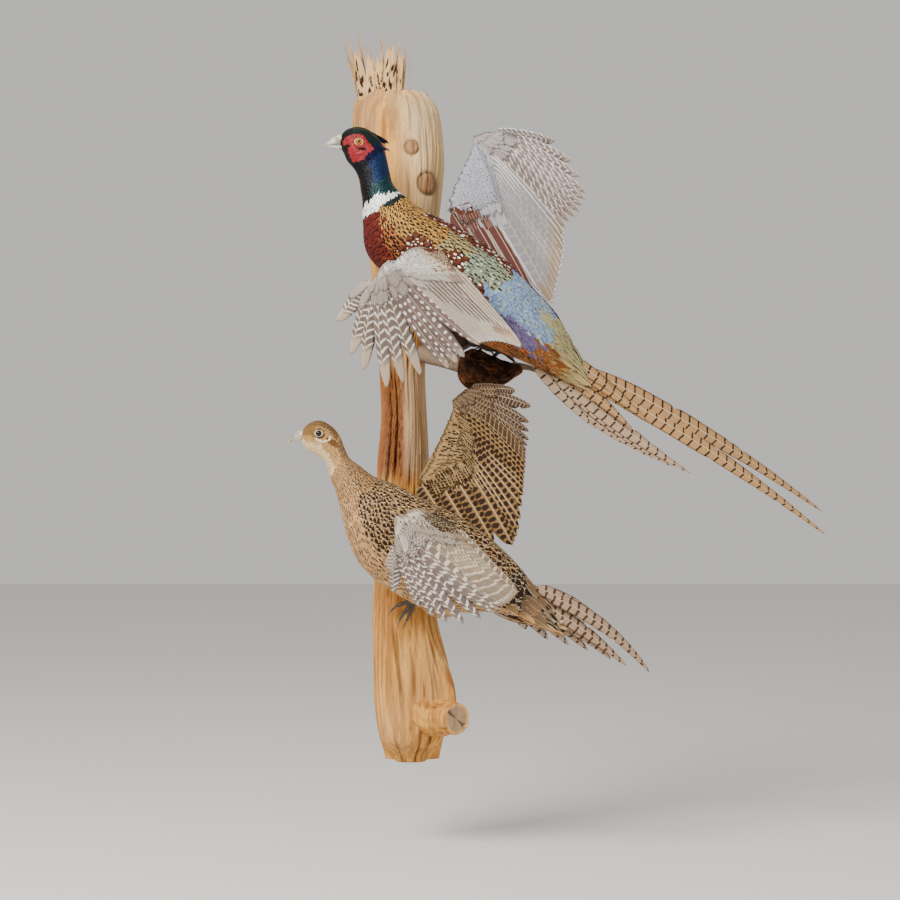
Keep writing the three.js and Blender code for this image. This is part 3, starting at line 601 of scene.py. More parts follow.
# ------------------------------------------------------------------------------ feathers
def blade(rows, columns, sharp=0.93, waist=0.45, widest=0.6):
    """A thin closed blade: an upper and a lower sheet of rows x columns that share their rim.

    Half width is a quarter sine up to the widest place and a quarter ellipse beyond it.
    """
    a = np.array(rows, float)
    c = np.array(columns, float)
    count = len(a) * len(c)
    top = np.arange(count).reshape(len(a), len(c))
    low = top.copy()
    low[1:-1, 1:-1] = count + np.arange((len(a) - 2) * (len(c) - 2)).reshape(len(a) - 2, -1)
    aa, cc = np.meshgrid(a, c, indexing="ij")
    side = np.zeros_like(aa)
    side[1:-1, 1:-1] = 1
    inner = (slice(1, -1), slice(1, -1))
    along = np.concatenate([aa.ravel(), aa[inner].ravel()])
    across = np.concatenate([cc.ravel(), cc[inner].ravel()])
    side = np.concatenate([side.ravel(), np.full((len(a) - 2) * (len(c) - 2), -1.0)])
    rise = waist + (1 - waist) * np.sin(np.minimum(along / widest, 1) * math.pi / 2)
    fall = np.clip((along - widest) / (1 - widest), 0, 1)
    return {
        "along": along, "across": across, "side": side,
        "width": rise * np.sqrt(1 - sharp * fall ** 2),
        "rim": (np.abs(across) > 0.99) | (along > 0.99),
        "quads": np.concatenate([grid_quads(top), grid_quads(low)[:, ::-1]]),
    }


TINY = blade([0, 0.45, 0.8, 1], [-1, 0, 1])
SMALL = blade([0, 0.35, 0.65, 0.88, 1], [-1, -0.4, 0.4, 1])
BROAD = blade([0, 0.25, 0.5, 0.7, 0.87, 1], [-1, -0.5, 0, 0.5, 1])
HACKLE = blade([0, 0.3, 0.6, 0.85, 1], [-1, -0.4, 0.4, 1], sharp=0.985, waist=0.5, widest=0.45)


def frame_on(surface, u, v):
    """Points, steps along and across, and normals of a surface, by central differences."""
    step_u, step_v = 1e-3, 1e-3
    along = (surface(u + step_u, v) - surface(u - step_u, v)) / (2 * step_u)
    across = (surface(u, v + step_v) - surface(u, v - step_v)) / (2 * step_v)
    return surface(u, v), along, across, unit(np.cross(along, across))


def lay_feathers(surface, u, v, length, width, rise, look, form, spot, out=1, turn=0.0,
                 island=(0, 0, 1, 1), floor=0.1, camber=0.12, ragged=0.08, thick=0.00022, seed=0):
    """Blades that follow a surface.

    Each vertex starts at its feather's root, goes its share of the length along the lie and of the
    width across it, and is raised from floor x rise at the root to rise at the tip, less a camber
    that grows with the square of the distance from the shaft.
    """
    rng = np.random.default_rng(seed)
    u, v, length, width, rise, turn = np.broadcast_arrays(
        *(np.asarray(x, float) for x in (u, v, length, width, rise, turn)))
    _, along, _, _ = frame_on(surface, u, v)
    metre_u = np.linalg.norm(along, axis=-1)[:, None]
    count = (len(u), len(form["along"]))
    loose = np.where(form["rim"] & (form["along"] > 0.3), ragged, 0)
    far = form["along"] * length[:, None] * (1 + loose * 0.6 * rng.normal(size=count))
    wide = form["across"] * form["width"] * (width[:, None] / 2)
    wide = wide * (1 + loose * rng.normal(size=count))
    c, s = np.cos(turn)[:, None], np.sin(turn)[:, None]
    place_u = u[:, None] + (far * c - wide * s) / metre_u
    _, _, across, _ = frame_on(surface, place_u, np.broadcast_to(v[:, None], count))
    metre_v = np.maximum(np.linalg.norm(across, axis=-1), 0.0012)
    place_v = v[:, None] + (far * s + wide * c) / metre_v
    points, _, _, normal = frame_on(surface, place_u, place_v)
    lift = rise[:, None] * (floor + (1 - floor) * form["along"] ** 1.2)
    lift = lift - camber * width[:, None] * form["across"] ** 2 * (0.3 + 0.7 * form["along"])
    lift = lift + form["side"] * thick / 2
    points = points + normal * (out * lift)[..., None]
    quads = form["quads"][None] + (np.arange(len(u)) * count[1])[:, None, None]
    if out > 0:
        quads = quads[..., ::-1]
    local = np.stack(np.broadcast_arrays((form["across"] + 1) / 2, form["along"]), -1)
    local = np.broadcast_to(local, (*count, 2))
    centre = np.array(island[:2]) + np.asarray(spot) * np.array(island[2:])
    bake = centre[:, None] + (local - 0.5) * PATCH
    colours = {k: np.repeat(c4, count[1], axis=0) for k, c4 in look.items()}
    return batch(points, quads, (), local, bake, colours)


def rows_round(surface, start, end, spacing, gap, seed=0, jitter=0.25):
    """Roots in staggered rows round a body surface, from station start to station end.

    spacing and gap are functions of the station: the way from one row to the next and from one
    feather to the next in a row, in metres.
    """
    rng = np.random.default_rng(seed)
    turn = np.linspace(0, 2 * math.pi, 49)[:-1]
    roots = []
    station = start
    parity = 0
    while station < end:
        ring = surface(np.full(48, station), turn)
        ahead = surface(np.full(48, station + 0.05), turn)
        girth = np.linalg.norm(ring - np.roll(ring, -1, axis=0), axis=-1).sum()
        pace = np.percentile(np.linalg.norm(ahead - ring, axis=-1), 70) / 0.05
        count = max(5, int(round(girth / gap(station))))
        angle = (np.arange(count) + 0.5 * parity + rng.normal(0, jitter * 0.4, count)) / count
        roots.append(np.stack([
            station + rng.normal(0, jitter, count) * spacing(station) / pace,
            angle * 2 * math.pi,
        ], -1))
        station += spacing(station) / pace
        parity = 1 - parity
    return np.concatenate(roots)


def quill_feather(path, out, half, look, island, rows, split, tip, seed, leading=0.5, sharp=2.0,
                  base=0.16, bare=0.03, cant=0.0, taper=0.0):
    """One large feather along a path.

    path is a function from 0 to 1 to points; out is the way its upper side faces. Half width grows
    as a quarter sine from the bare quill, narrows by the taper and closes as a rounded end past the
    tip share.
    The vane ahead of the shaft takes the leading share of it. The shaft is a ridge that fades out.
    """
    rng = np.random.default_rng(seed)
    form = blade(np.linspace(0, 1, rows), [-1, -0.72, -0.4, -0.09, 0, 0.09, 0.4, 0.72, 1])
    a, c = form["along"], form["across"]
    grow = 0.12 + 0.88 * np.sin(np.clip((a - bare) / base, 0, 1) * math.pi / 2)
    fade = np.clip((a - tip) / (1 - tip), 0, 1)
    width = half * grow * np.sqrt(np.clip(1 - fade ** sharp, 0.003, 1))
    width = width * (1 - taper * ramp(a, 0.35, 1))
    lead = np.where(c < 0, 2 * leading, 2 * (1 - leading))
    edge = np.abs(c) > 0.9
    notch = np.ones_like(a)
    for _ in range(split):
        place, sign = rng.uniform(0.35, 0.9), rng.choice([-1, 1])
        near = np.exp(-((a - place) * rows / 0.8) ** 2)
        notch -= np.where((np.sign(c) == sign) & edge, near * rng.uniform(0.1, 0.35), 0)
    ripple = 1 + 0.025 * np.sin(a * rng.uniform(30, 50) + rng.uniform(0, 6)) * edge
    points = path(a)
    along = unit(path(a + 0.01) - path(a - 0.01))
    across = unit(np.cross(np.broadcast_to(out, along.shape), along))
    up = np.cross(along, across)
    wide = (c * width * lead * notch * ripple)[:, None]
    ridge = 0.0007 * np.exp(-(c / 0.1) ** 2) * (1 - 0.85 * a)
    height = -cant * c - 0.10 * width * c ** 2 + form["side"] * 0.00022
    height = height + ridge * np.where(form["side"] < 0, -1, 1) * (np.abs(c) < 0.3)
    points = points + across * wide + up * height[:, None]
    quads = form["quads"]
    corner = points[quads[: len(quads) // 2]]
    facing = np.cross(corner[:, 1] - corner[:, 0], corner[:, 3] - corner[:, 0]).sum(0)
    if facing @ up.mean(0) < 0:
        quads = quads[:, ::-1]
    local = pile((c + 1) / 2, a)
    bake = np.array(island[:2]) + local * np.array(island[2:])
    colours = {k: np.broadcast_to(np.asarray(c4, float), (len(a), 4)) for k, c4 in look.items()}
    return batch(points, quads, (), local, bake, colours)


# ------------------------------------------------------------------------------ finishes
class Wire:
    """A node's output. A sum or product written with wires becomes Math nodes."""

    def __init__(self, finish, socket):
        self.finish = finish
        self.socket = socket

    def __add__(self, other):
        return self.finish.math("ADD", self, other)

    def __sub__(self, other):
        return self.finish.math("SUBTRACT", self, other)

    def __rsub__(self, other):
        return self.finish.math("SUBTRACT", other, self)

    def __mul__(self, other):
        return self.finish.math("MULTIPLY", self, other)

    def __truediv__(self, other):
        return self.finish.math("DIVIDE", self, other)

    def __pow__(self, other):
        return self.finish.math("POWER", self, other)

    def __abs__(self):
        return self.finish.math("ABSOLUTE", self)


class Finish:
    """One material and short calls that add nodes to its tree."""

    def __init__(self, name, **surface):
        self.material = bpy.data.materials.new(name)
        self.material.use_nodes = True
        self.nodes = self.material.node_tree.nodes
        self.links = self.material.node_tree.links
        self.shader = self.nodes["Principled BSDF"]
        for socket, value in surface.items():
            self.shader.inputs[socket.replace("_", " ")].default_value = value

    def put(self, socket, value):
        """Links a socket to a wire, or sets it to a plain value or colour."""
        if isinstance(value, Wire):
            self.links.new(value.socket, socket)
        elif isinstance(value, str):
            socket.default_value = (*shade(value), 1)
        elif socket.type == "RGBA" and hasattr(value, "__len__"):
            socket.default_value = (*value[:3], 1)
        else:
            socket.default_value = value

    def add(self, kind, inputs=None, outputs=(0,), **options):
        """A node with its options and inputs set; gives back the wires of its outputs."""
        node = self.nodes.new("ShaderNode" + kind)
        for option, value in options.items():
            setattr(node, option, value)
        for socket, value in (inputs or {}).items():
            self.put(node.inputs[socket], value)
        wires = [Wire(self, node.outputs[key]) for key in outputs]
        return wires if len(wires) > 1 else wires[0]

    def math(self, operation, *values):
        return self.add("Math", dict(enumerate(values)), operation=operation)

    def most(self, value, least):
        """The value, but never under the least."""
        return self.math("MAXIMUM", value, least)

    def span(self, a, b):
        """Root of the sum of two squares."""
        return self.math("SQRT", a ** 2.0 + b ** 2.0)

    def wave(self, turns):
        """Sine of a number of whole turns."""
        return self.math("SINE", turns * 6.283)

    def saw(self, turns):
        """1 at whole turns, 0 half way between them, straight between."""
        return abs(self.math("FRACT", turns) * 2.0 - 1.0)

    def step(self, value, lo, hi):
        """0 below lo, 1 above hi, smooth between; lo above hi turns it over."""
        turned = not isinstance(lo, Wire) and lo > hi
        ends = {"From Min": hi, "From Max": lo, "To Min": 1, "To Max": 0} if turned else {
            "From Min": lo, "From Max": hi, "To Min": 0, "To Max": 1}
        return self.add("MapRange", {"Value": value, **ends}, interpolation_type="SMOOTHSTEP")

    def mix(self, amount, first, second, kind="MIX"):
        return self.add("Mix", {0: amount, 6: first, 7: second}, (2,), data_type="RGBA",
                        blend_type=kind)

    def place(self, stretch=(1, 1, 1)):
        """Object coordinates in metres, stretched along each axis."""
        coordinates = self.add("TexCoord", outputs=("Object",))
        return self.add("Mapping", {"Vector": coordinates, "Scale": stretch})

    def noise(self, vector, scale, detail=3.0, rough=0.55, twist=0.0):
        return self.add("TexNoise", {"Vector": vector, "Scale": scale, "Detail": detail,
                                     "Roughness": rough, "Distortion": twist})

    def cells(self, vector, scale, feature="F1"):
        return self.add("TexVoronoi", {"Vector": vector, "Scale": scale}, ("Distance",),
                        feature=feature)

    def attribute(self, name):
        """An attribute's colour and its fourth number."""
        return self.add("Attribute", outputs=("Color", "Alpha"), attribute_name=name)

    def parts(self, value, kind="Color"):
        """The three numbers of a colour or a point."""
        return self.add("Separate" + kind, {0: value}, (0, 1, 2))

    def vane(self):
        """Distance from the shaft, 0 to 1, side of the shaft, and share of the length."""
        across, along, _ = self.parts(self.add("UVMap", uv_map="Vane"), "XYZ")
        side = across * 2.0 - 1.0
        return abs(side), side, along

    def bump(self, height, strength, distance=0.0005):
        normal = self.add("Bump", {"Strength": strength, "Distance": distance, "Height": height})
        self.put(self.shader.inputs["Normal"], normal)

    def colour(self, value):
        self.put(self.shader.inputs["Base Color"], value)
        return self.material


def plumage_finish(name, barbs=16.0, **surface):
    """Small feathers: a ground, a mark with a heart in it, and a fringe along the rim.

    The mark and its heart are ellipses on the shaft. Barbs are fine slanted stripes.
    """
    f = Finish(name, **{"Specular_IOR_Level": 0.14, **surface})
    x, _, y = f.vane()
    ground, mark_width = f.attribute("ground")
    mark, mark_place = f.attribute("mark")
    heart, heart_size = f.attribute("heart")
    fringe, fringe_width = f.attribute("fringe")
    stripe = f.wave(y * barbs - x * (barbs * 0.45))
    fray = f.noise(f.place(), 420.0, 2.0)
    across = x / f.most(mark_width, 0.01)
    along = (y - mark_place) / (mark_width * 0.30 + 0.11)
    reach = f.span(across, along) + (fray * 0.5 - 0.25)
    marked = f.step(reach, 1.15, 0.85) * f.step(mark_width, 0.02, 0.06)
    hearted = f.step(reach / f.most(heart_size, 0.01), 1.1, 0.8) * f.step(heart_size, 0.02, 0.06)
    outer = f.most((y - 0.5) / 0.5, 0.0) ** 2.0
    rim = f.math("SQRT", outer + x ** 2.5) + (fray * 0.16 - 0.08)
    inside = 1.0 - fringe_width
    fringed = f.step(rim, inside - 0.07, inside) * f.step(fringe_width, 0.005, 0.02)
    tone = f.mix(fringed, ground, fringe)
    tone = f.mix(marked, tone, mark)
    tone = f.mix(hearted, tone, heart)
    shaft = f.step(x, 0.10, 0.02) * 0.10
    grain = (stripe * 0.10 + 0.93) + (fray * 0.24 - 0.12) + shaft
    root = f.step(y, 0.1, 0.55) * 0.35 + 0.65
    tone = f.mix(1.0, tone, grain * root, "MULTIPLY")
    f.bump(stripe + f.step(x, 0.12, 0.0) * 1.5, 0.16, 0.00010)
    return f.colour(tone)


def vane_finish(name, wave=0.6, stagger=0.35, **surface):
    """Flight and tail feathers: a ground that turns to the tip's colour, crossed by bars or set
    with rows of oval spots, and a pale shaft.

    The attributes' fourth numbers: ground's is 0 for bars and 1 for spots, mark's is how many bars
    stand along the feather, heart's where they end and fringe's the width of the edge. trim holds
    the bars' share of their pitch, their slant, how far they reach to the edge, and their strength.
    wave is how far they waver and stagger how far the two halves' bars stand apart, in pitches.
    """
    f = Finish(name, **{"Specular_IOR_Level": 0.18, **surface})
    x, side, y = f.vane()
    ground, spotted = f.attribute("ground")
    bar, count = f.attribute("mark")
    tip, bars_end = f.attribute("heart")
    fringe, fringe_width = f.attribute("fringe")
    trim, strength = f.attribute("trim")
    share, slant, spread = f.parts(trim)
    wobble = f.noise(f.place(), 130.0, 2.0) * wave - wave / 2
    mottle = f.noise(f.place(), 700.0, 2.0) * 0.3 - 0.15
    lean = (slant - 0.5) * (x * 2.0)
    phase = (y + lean * 0.1) * count + wobble + f.step(side, -0.01, 0.01) * stagger
    along = f.saw(phase)
    barred = 1.0 - f.step(along + mottle, share * 0.6, share)
    oval = f.span(along, f.saw(x * 1.1 - 0.05)) + mottle
    oval = 1.0 - f.step(oval, share, share * 1.4)
    ending = f.step(y, bars_end, bars_end + 0.16)
    pattern = f.mix(spotted, barred, oval) * f.step(x, spread + 0.02, spread)
    pattern = pattern * strength * (1.0 - ending)
    tone = f.mix(ending, ground, tip)
    edge = f.most(x, f.step(y, 0.93, 1.0) * 0.6 + 0.4)
    inside = 1.0 - fringe_width
    edge = f.step(edge, inside - 0.08, inside) * f.step(fringe_width, 0.005, 0.02)
    tone = f.mix(edge * 0.85, tone, fringe)
    tone = f.mix(pattern, tone, bar)
    stripes = f.wave(y * 150.0 - x * 26.0)
    grain = (stripes * 0.05 + 0.92) + (f.noise(f.place(), 300.0, 3.0) * 0.26 - 0.13)
    tone = f.mix(1.0, tone, grain, "MULTIPLY")
    tone = f.mix(f.step(x, 0.055, 0.03) * 0.75, tone, "#cdb995")
    f.bump(stripes, 0.3, 0.0001)
    return f.colour(tone)


def skin_finish(name, **surface):
    """Skin under the plumage: the plumage's ground colours, darkened as painted shade where the
    skin shows between feathers, with pimpled bump.
    """
    f = Finish(name, **{"Specular_IOR_Level": 0.14, **surface})
    ground, _ = f.attribute("ground")
    pores = f.cells(f.place(), 900.0)
    f.bump(pores, 0.4, 0.0004)
    # Multiplying the ground by 0.35 to 0.85 paints the shade that lies under and between the
    # feathers.
    return f.colour(f.mix(1.0, ground, pores * 0.5 + 0.35, "MULTIPLY"))


def plain_skin(name, colour):
    """Smooth bare skin with a little mottle and fine bumps."""
    f = Finish(name, Roughness=0.5, Subsurface_Weight=0.05)
    mottle = f.noise(f.place(), 700.0, 3.0)
    f.bump(mottle, 0.4, 0.0002)
    return f.colour(f.mix(mottle * 0.7, colour, "#1a0f0c"))


def wattle_finish(crimson, crease_shade):
    """Bare face: crimson skin crowded with rounded papillae, with painted shade in the creases
    between them.
    """
    f = Finish("wattle skin", Roughness=0.5, Subsurface_Weight=0.05, Specular_IOR_Level=0.35)
    bead = f.cells(f.place(), 1500.0, "SMOOTH_F1")
    folds = f.noise(f.place(), 200.0, 3.0)
    # The crease colour is painted shade in the low ground between the papillae.
    tone = f.mix(f.step(bead, 0.2, 0.75), crimson, crease_shade)
    tone = f.mix(f.step(folds, 0.45, 0.7) * 0.4, tone, "#b8262b")
    f.bump(bead * -1.0, 0.6, 0.0004)
    return f.colour(tone)


def horn_finish(name, pale, dark, rough=0.4):
    """Bill, claws: pale horn clouded with a darker one, with fine lines of growth."""
    f = Finish(name, Roughness=rough, Coat_Weight=0.15)
    cloud = f.noise(f.place((60, 60, 60)), 2.0, 4.0)
    fine = f.noise(f.place(), 900.0, 2.0)
    tone = f.mix(f.step(cloud, 0.35, 0.7), pale, dark)
    tone = f.mix(f.step(fine, 0.5, 0.75) * 0.35, tone, dark)
    f.bump(fine, 0.25, 0.0002)
    return f.colour(tone)


def scale_finish(name):
    """Legs: rows of scutes, each edged with a dark line, on grey-brown horn."""
    f = Finish(name, Roughness=0.5)
    edge = f.step(f.cells(f.place((1, 1, 1.6)), 420.0), 0.55, 0.35)
    tone = f.mix(edge, "#332b25", "#5f5448")
    tone = f.mix(f.step(f.noise(f.place(), 60.0), 0.45, 0.65) * 0.5, tone, "#5e5245")
    f.bump(edge, 0.7, 0.0005)
    return f.colour(tone)


def eye_finish(name, eye, pupil, iris, rim_colour, iris_colour):
    """Glass eye: a black pupil, an iris with fine rays and a dark rim, by distance from the axis
    through its centre."""
    f = Finish(name, Roughness=0.10, Coat_Weight=0.25, Coat_Roughness=0.03,
               Specular_IOR_Level=0.25)
    here = f.add("TexCoord", outputs=("Object",))
    centre = [c * MM for c in eye]
    x, _, z = f.parts(f.add("VectorMath", {0: here, 1: centre}, operation="SUBTRACT"), "XYZ")
    away = f.span(x, z)
    rays = f.noise(f.place((700, 700, 700)), 1.0, 2.0)
    tone = f.mix(rays * 0.6, iris_colour, rim_colour)
    tone = f.mix(f.step(away, iris * 0.75, iris), tone, rim_colour)
    tone = f.mix(f.step(away, pupil * 1.12, pupil * 0.92), tone, "#040303")
    tone = f.mix(f.step(away, iris * 0.98, iris * 1.1), tone, "#080504")
    return f.colour(tone)


def wood_finish():
    """Weathered log: long grain, tan and cream with pink-brown and grey stretches; the attribute's
    red is the depth of cracks, drawn near-black as painted shade in them, its green the paleness
    and its blue the red-brown stain."""
    f = Finish("driftwood grain", Roughness=0.82, Specular_IOR_Level=0.2)
    wear_and_crack_shade, grey = f.attribute("wear_and_crack_shade")
    crack, pale, stain = f.parts(wear_and_crack_shade)
    grain = f.noise(f.place((120, 120, 6)), 1.0, 6.0, 0.6, 0.4)
    fibre = f.noise(f.place((900, 900, 22)), 1.0, 4.0, 0.6)
    blotch = f.noise(f.place((14, 14, 7)), 1.0, 4.0, 0.6)
    tone = f.mix(f.step(grain, 0.38, 0.66), "#ac7234", "#e2a752")
    # Of these, crack mixes in near-black brown: painted shade in the cracks, grooves, knot rims and
    # worm holes.
    for amount, code in (
        (f.step(blotch, 0.45, 0.7) * 0.6, "#98622f"), (pale * f.step(fibre, 0.2, 0.6), "#e9ca98"),
        (stain * 0.8, "#8a4a26"), (grey * 0.8, "#8f8578"),
        (f.step(fibre, 0.5, 0.75) * 0.45, "#7a4d28"),
        (f.step(grain, 0.66, 0.74) * 0.55, "#6a4526"), (crack, "#2a160a"),
    ):
        tone = f.mix(amount, tone, code)
    f.bump(grain * 0.6 + fibre, 0.55, 0.0012)
    return f.colour(tone)


def bark_finish():
    """Burl: dark, charred-looking bark, lighter brown on its raised lumps and near-black in the
    hollows between them as painted light and shade, ochre where the attribute's red says it has
    broken away and grey where its green says so."""
    f = Finish("burl bark", Roughness=0.88, Specular_IOR_Level=0.2)
    broken, grey, _ = f.parts(f.attribute("wear_and_crack_shade")[0])
    lump = f.noise(f.place(), 90.0, 6.0, 0.65)
    fine = f.noise(f.place(), 480.0, 4.0)
    # Over the bark's own dark brown, the lumps lighten the colour where they raise the bump:
    # painted highlight on the lumps and painted shade in the hollows.
    tone = f.mix(f.step(lump, 0.35, 0.7), "#1a0d06", "#5e3519")
    tone = f.mix(broken * f.step(lump, 0.4, 0.55), tone, "#a8692c")
    tone = f.mix(grey, tone, f.mix(fine, "#5d4a3a", "#a8917a"))
    f.bump(lump + fine * 0.4, 0.9, 0.003)
    return f.colour(tone)


# ------------------------------------------------------------------------------ plumage patterns
def coat_of(count, ground):
    """A coat of plain feathers: four colours each, whose alphas are the mark's width and place,
    the heart's share of the mark and the fringe's width."""
    coat = {key: np.zeros((count, 4)) for key in LAYERS}
    for colours in coat.values():
        colours[:, :3] = shade(ground)
    coat["mark"][:, 3] = 0.7
    return coat


def paint(coat, where, ground=None, mark=None, fringe=None, heart=None, place=None):
    """Gives the feathers at where a new ground colour, and a mark, a fringe and a heart, each a
    colour and a number: the mark's width, the fringe's width and the heart's share of the mark.

    place is where the mark stands along the feather. What isn't given stays as it was.
    """
    if ground:
        coat["ground"][where, :3] = shade(ground)
    for key, held, value in (("mark", "ground", mark), ("fringe", "fringe", fringe),
                             ("heart", "heart", heart)):
        if value:
            coat[key][where, :3] = shade(value[0])
            coat[held][where, 3] = value[1]
    if place:
        coat["mark"][where, 3] = place


def one_look(coat, u, v, seed):
    """A coat's colours for one feather."""
    return {key: value[0] for key, value in coat(np.array([u]), np.array([v]), seed).items()}


def vary(coat, seed, amount=0.12):
    """Each feather a little lighter or darker, and warmer or cooler, than its fellows."""
    rng = np.random.default_rng(seed)
    count = len(coat["ground"])
    light = 1 + amount * rng.normal(size=(count, 1))
    warm = 1 + 0.35 * amount * rng.normal(size=(count, 1)) * np.array([1, 0, -1])
    for key in ("ground", "mark", "fringe"):
        coat[key][:, :3] = np.clip(coat[key][:, :3] * light * warm, 0.001, 1)
    return coat


def wandering(station, turn, rng, seed, stir, slide, swing):
    """Angles in degrees, stations and distances from the back's line that wander with noise, and
    the noise."""
    a = np.degrees((turn + math.pi) % (2 * math.pi) - math.pi)
    field = pile(station * 1.2, a / 25)
    wander = wave_noise(field, 2.0, seed) + stir * rng.normal(size=len(station))
    return a, station + slide * wander, np.abs(a) + swing * wander, wander


def cock_coat(station, turn, seed=0):
    """The cock's colours by station and angle round the body.

    Stations 0 to 8.4 are the head, 9.15 to 9.6 the white collar, and 12 on the trunk. Angles run
    from the back's line, plus to the room and minus to the wall.
    """
    rng = np.random.default_rng(seed)
    a, s, b, wander = wandering(station, turn, rng, 5, 0.3, 0.10, 6)
    coat = coat_of(len(station), "#a9552a")

    paint(coat, s < 9.9, "#06080e", fringe=("#06080e", 0))
    nape = (b < 100) & (s > 4.3)
    for until, code in ((6.2, "#080624"), (7.2, "#060f38"), (8.2, "#031f48"), (9.9, "#032f33")):
        paint(coat, nape & (s <= until) & (s > until - 1.9), code)
    paint(coat, (s < 5.2) & (b < 34), "#2c301c", fringe=("#3f3f24", 0.2))
    paint(coat, (s < 5.4) & (b > 34) & (b < 66), "#08231f")
    paint(coat, (s < 2.2) & (b < 110), "#0c100e")

    body = s >= 9.55
    paint(coat, body, "#8f4420", ("#120b12", 0.0), ("#22100f", 0.07))
    breast = body & (s < 12.8) & (b > 66)
    paint(coat, breast, "#78351e", ("#160b0a", 0.24), ("#5a2617", 0.05), place=0.86)
    paint(coat, breast & (s < 11.2) & (b > 74), "#5d1f19", ("#431419", 0.0), ("#3f1411", 0.05))
    flank = (s > 11.7) & (b > 72) & (b < 150)
    paint(coat, flank, "#b9652c", ("#140c0a", 0.40), ("#c98545", 0.06), place=0.86)
    paint(coat, (b > 146) & (s > 11.8), "#2b1b13", ("#120b08", 0.0))
    paint(coat, (b > 118) & (s > 16.8), "#3a1f12", ("#120b08", 0.0))

    soft = s + 0.30 * wander
    mantle = body & (s < 12.4) & (b < 72)
    paint(coat, mantle, "#bb873f", ("#120b07", 0.28), ("#c9a05a", 0.10), place=0.76)
    paint(coat, mantle & (rng.uniform(size=len(s)) < 0.25), "#9a6a36")
    middle = (s > 12.0) & (s < 13.9) & (b < 60)
    paint(coat, middle, "#a08e60", ("#17100b", 0.22), ("#b09a68", 0.10), place=0.78)
    shoulder = (s > 10.5) & (s < 12.9) & (b > 56) & (b < 86) & (a > 0)
    paint(coat, shoulder, "#a45a2a", ("#140c0a", 0.34), ("#b57a3e", 0.08), place=0.84)
    near = (s > 11.3) & (s < 14.6) & (b > np.maximum(20, 42 - (s - 11.3) * 15)) & (a > 0) & (b < 84)
    far = (s > 11.0) & (s < 15.6) & (a < -8) & (a > -84)
    spotted = rng.uniform(size=len(s)) < 0.42
    for side, ground in ((near, "#5a2a18"), (far, "#5a2a1f")):
        paint(coat, side, ground, ("#150b08", 0.0), ("#3a1c10", 0.10), place=0.72)
        paint(coat, side & spotted, mark=("#1c0d08", 0.34), fringe=("#7d4a28", 0.10),
              heart=("#f4eee2", 0.68))

    lower = (s > 12.9) & (s <= 14.6) & (b < 38) & ~far
    paint(coat, lower, "#8a957a", ("#1b1712", 0.19), ("#a3aa92", 0.10), place=0.78)
    rump = (soft > 13.9) & (soft < 16.4) & (a > -30) & (b < 70)
    paint(coat, rump, "#728cb0", ("#20222a", 0.0), ("#97aac4", 0.2))
    paint(coat, rump & (rng.uniform(size=len(s)) < 0.3), "#93a497")
    violet = (soft > 14.6) & (soft < 16.3) & (a > 50) & (a < 88)
    paint(coat, violet, "#61527a", ("#20180f", 0.0), ("#86799c", 0.2))
    olive = ((soft > 15.2) & (a <= 14) & (b < 120) & ~far) | ((soft > 16.1) & (b < 52))
    paint(coat, olive, "#a0956a", ("#20180f", 0.0), ("#beb48a", 0.2))
    rust = (soft > 16.0) & (a > 40) & (a < 124)
    paint(coat, rust, "#82481f", ("#20180f", 0.0), ("#a06c3c", 0.2))
    paint(coat, rust & (rng.uniform(size=len(s)) < 0.24), "#957440")
    paint(coat, (s > 15.2) & (a >= 92) & (a < 124), "#6b3a1c")
    fade = (soft > 16.9) & (a > 20) & (a < 110) & (rng.uniform(size=len(s)) < soft - 16.7)
    paint(coat, fade, "#ab9260", fringe=("#c4b082", 0.2))

    band = (s > 9.3) & (s < 9.72) & (b < 62)
    paint(coat, band, "#10211f", ("#15352f", 0.0), ("#1b2f2c", 0.1))
    collar = (s > 9.22 - 0.30 * ramp(b, 15, 75) + 0.2 * ramp(b, 115, 150))
    collar = collar & (s < 9.42 + 0.12 * ramp(b, 30, 90))
    paint(coat, collar, "#f4f3ee", ("#f1f0ea", 0.0), ("#f8f7f2", 0.0))
    return vary(coat, seed + 1, 0.10)


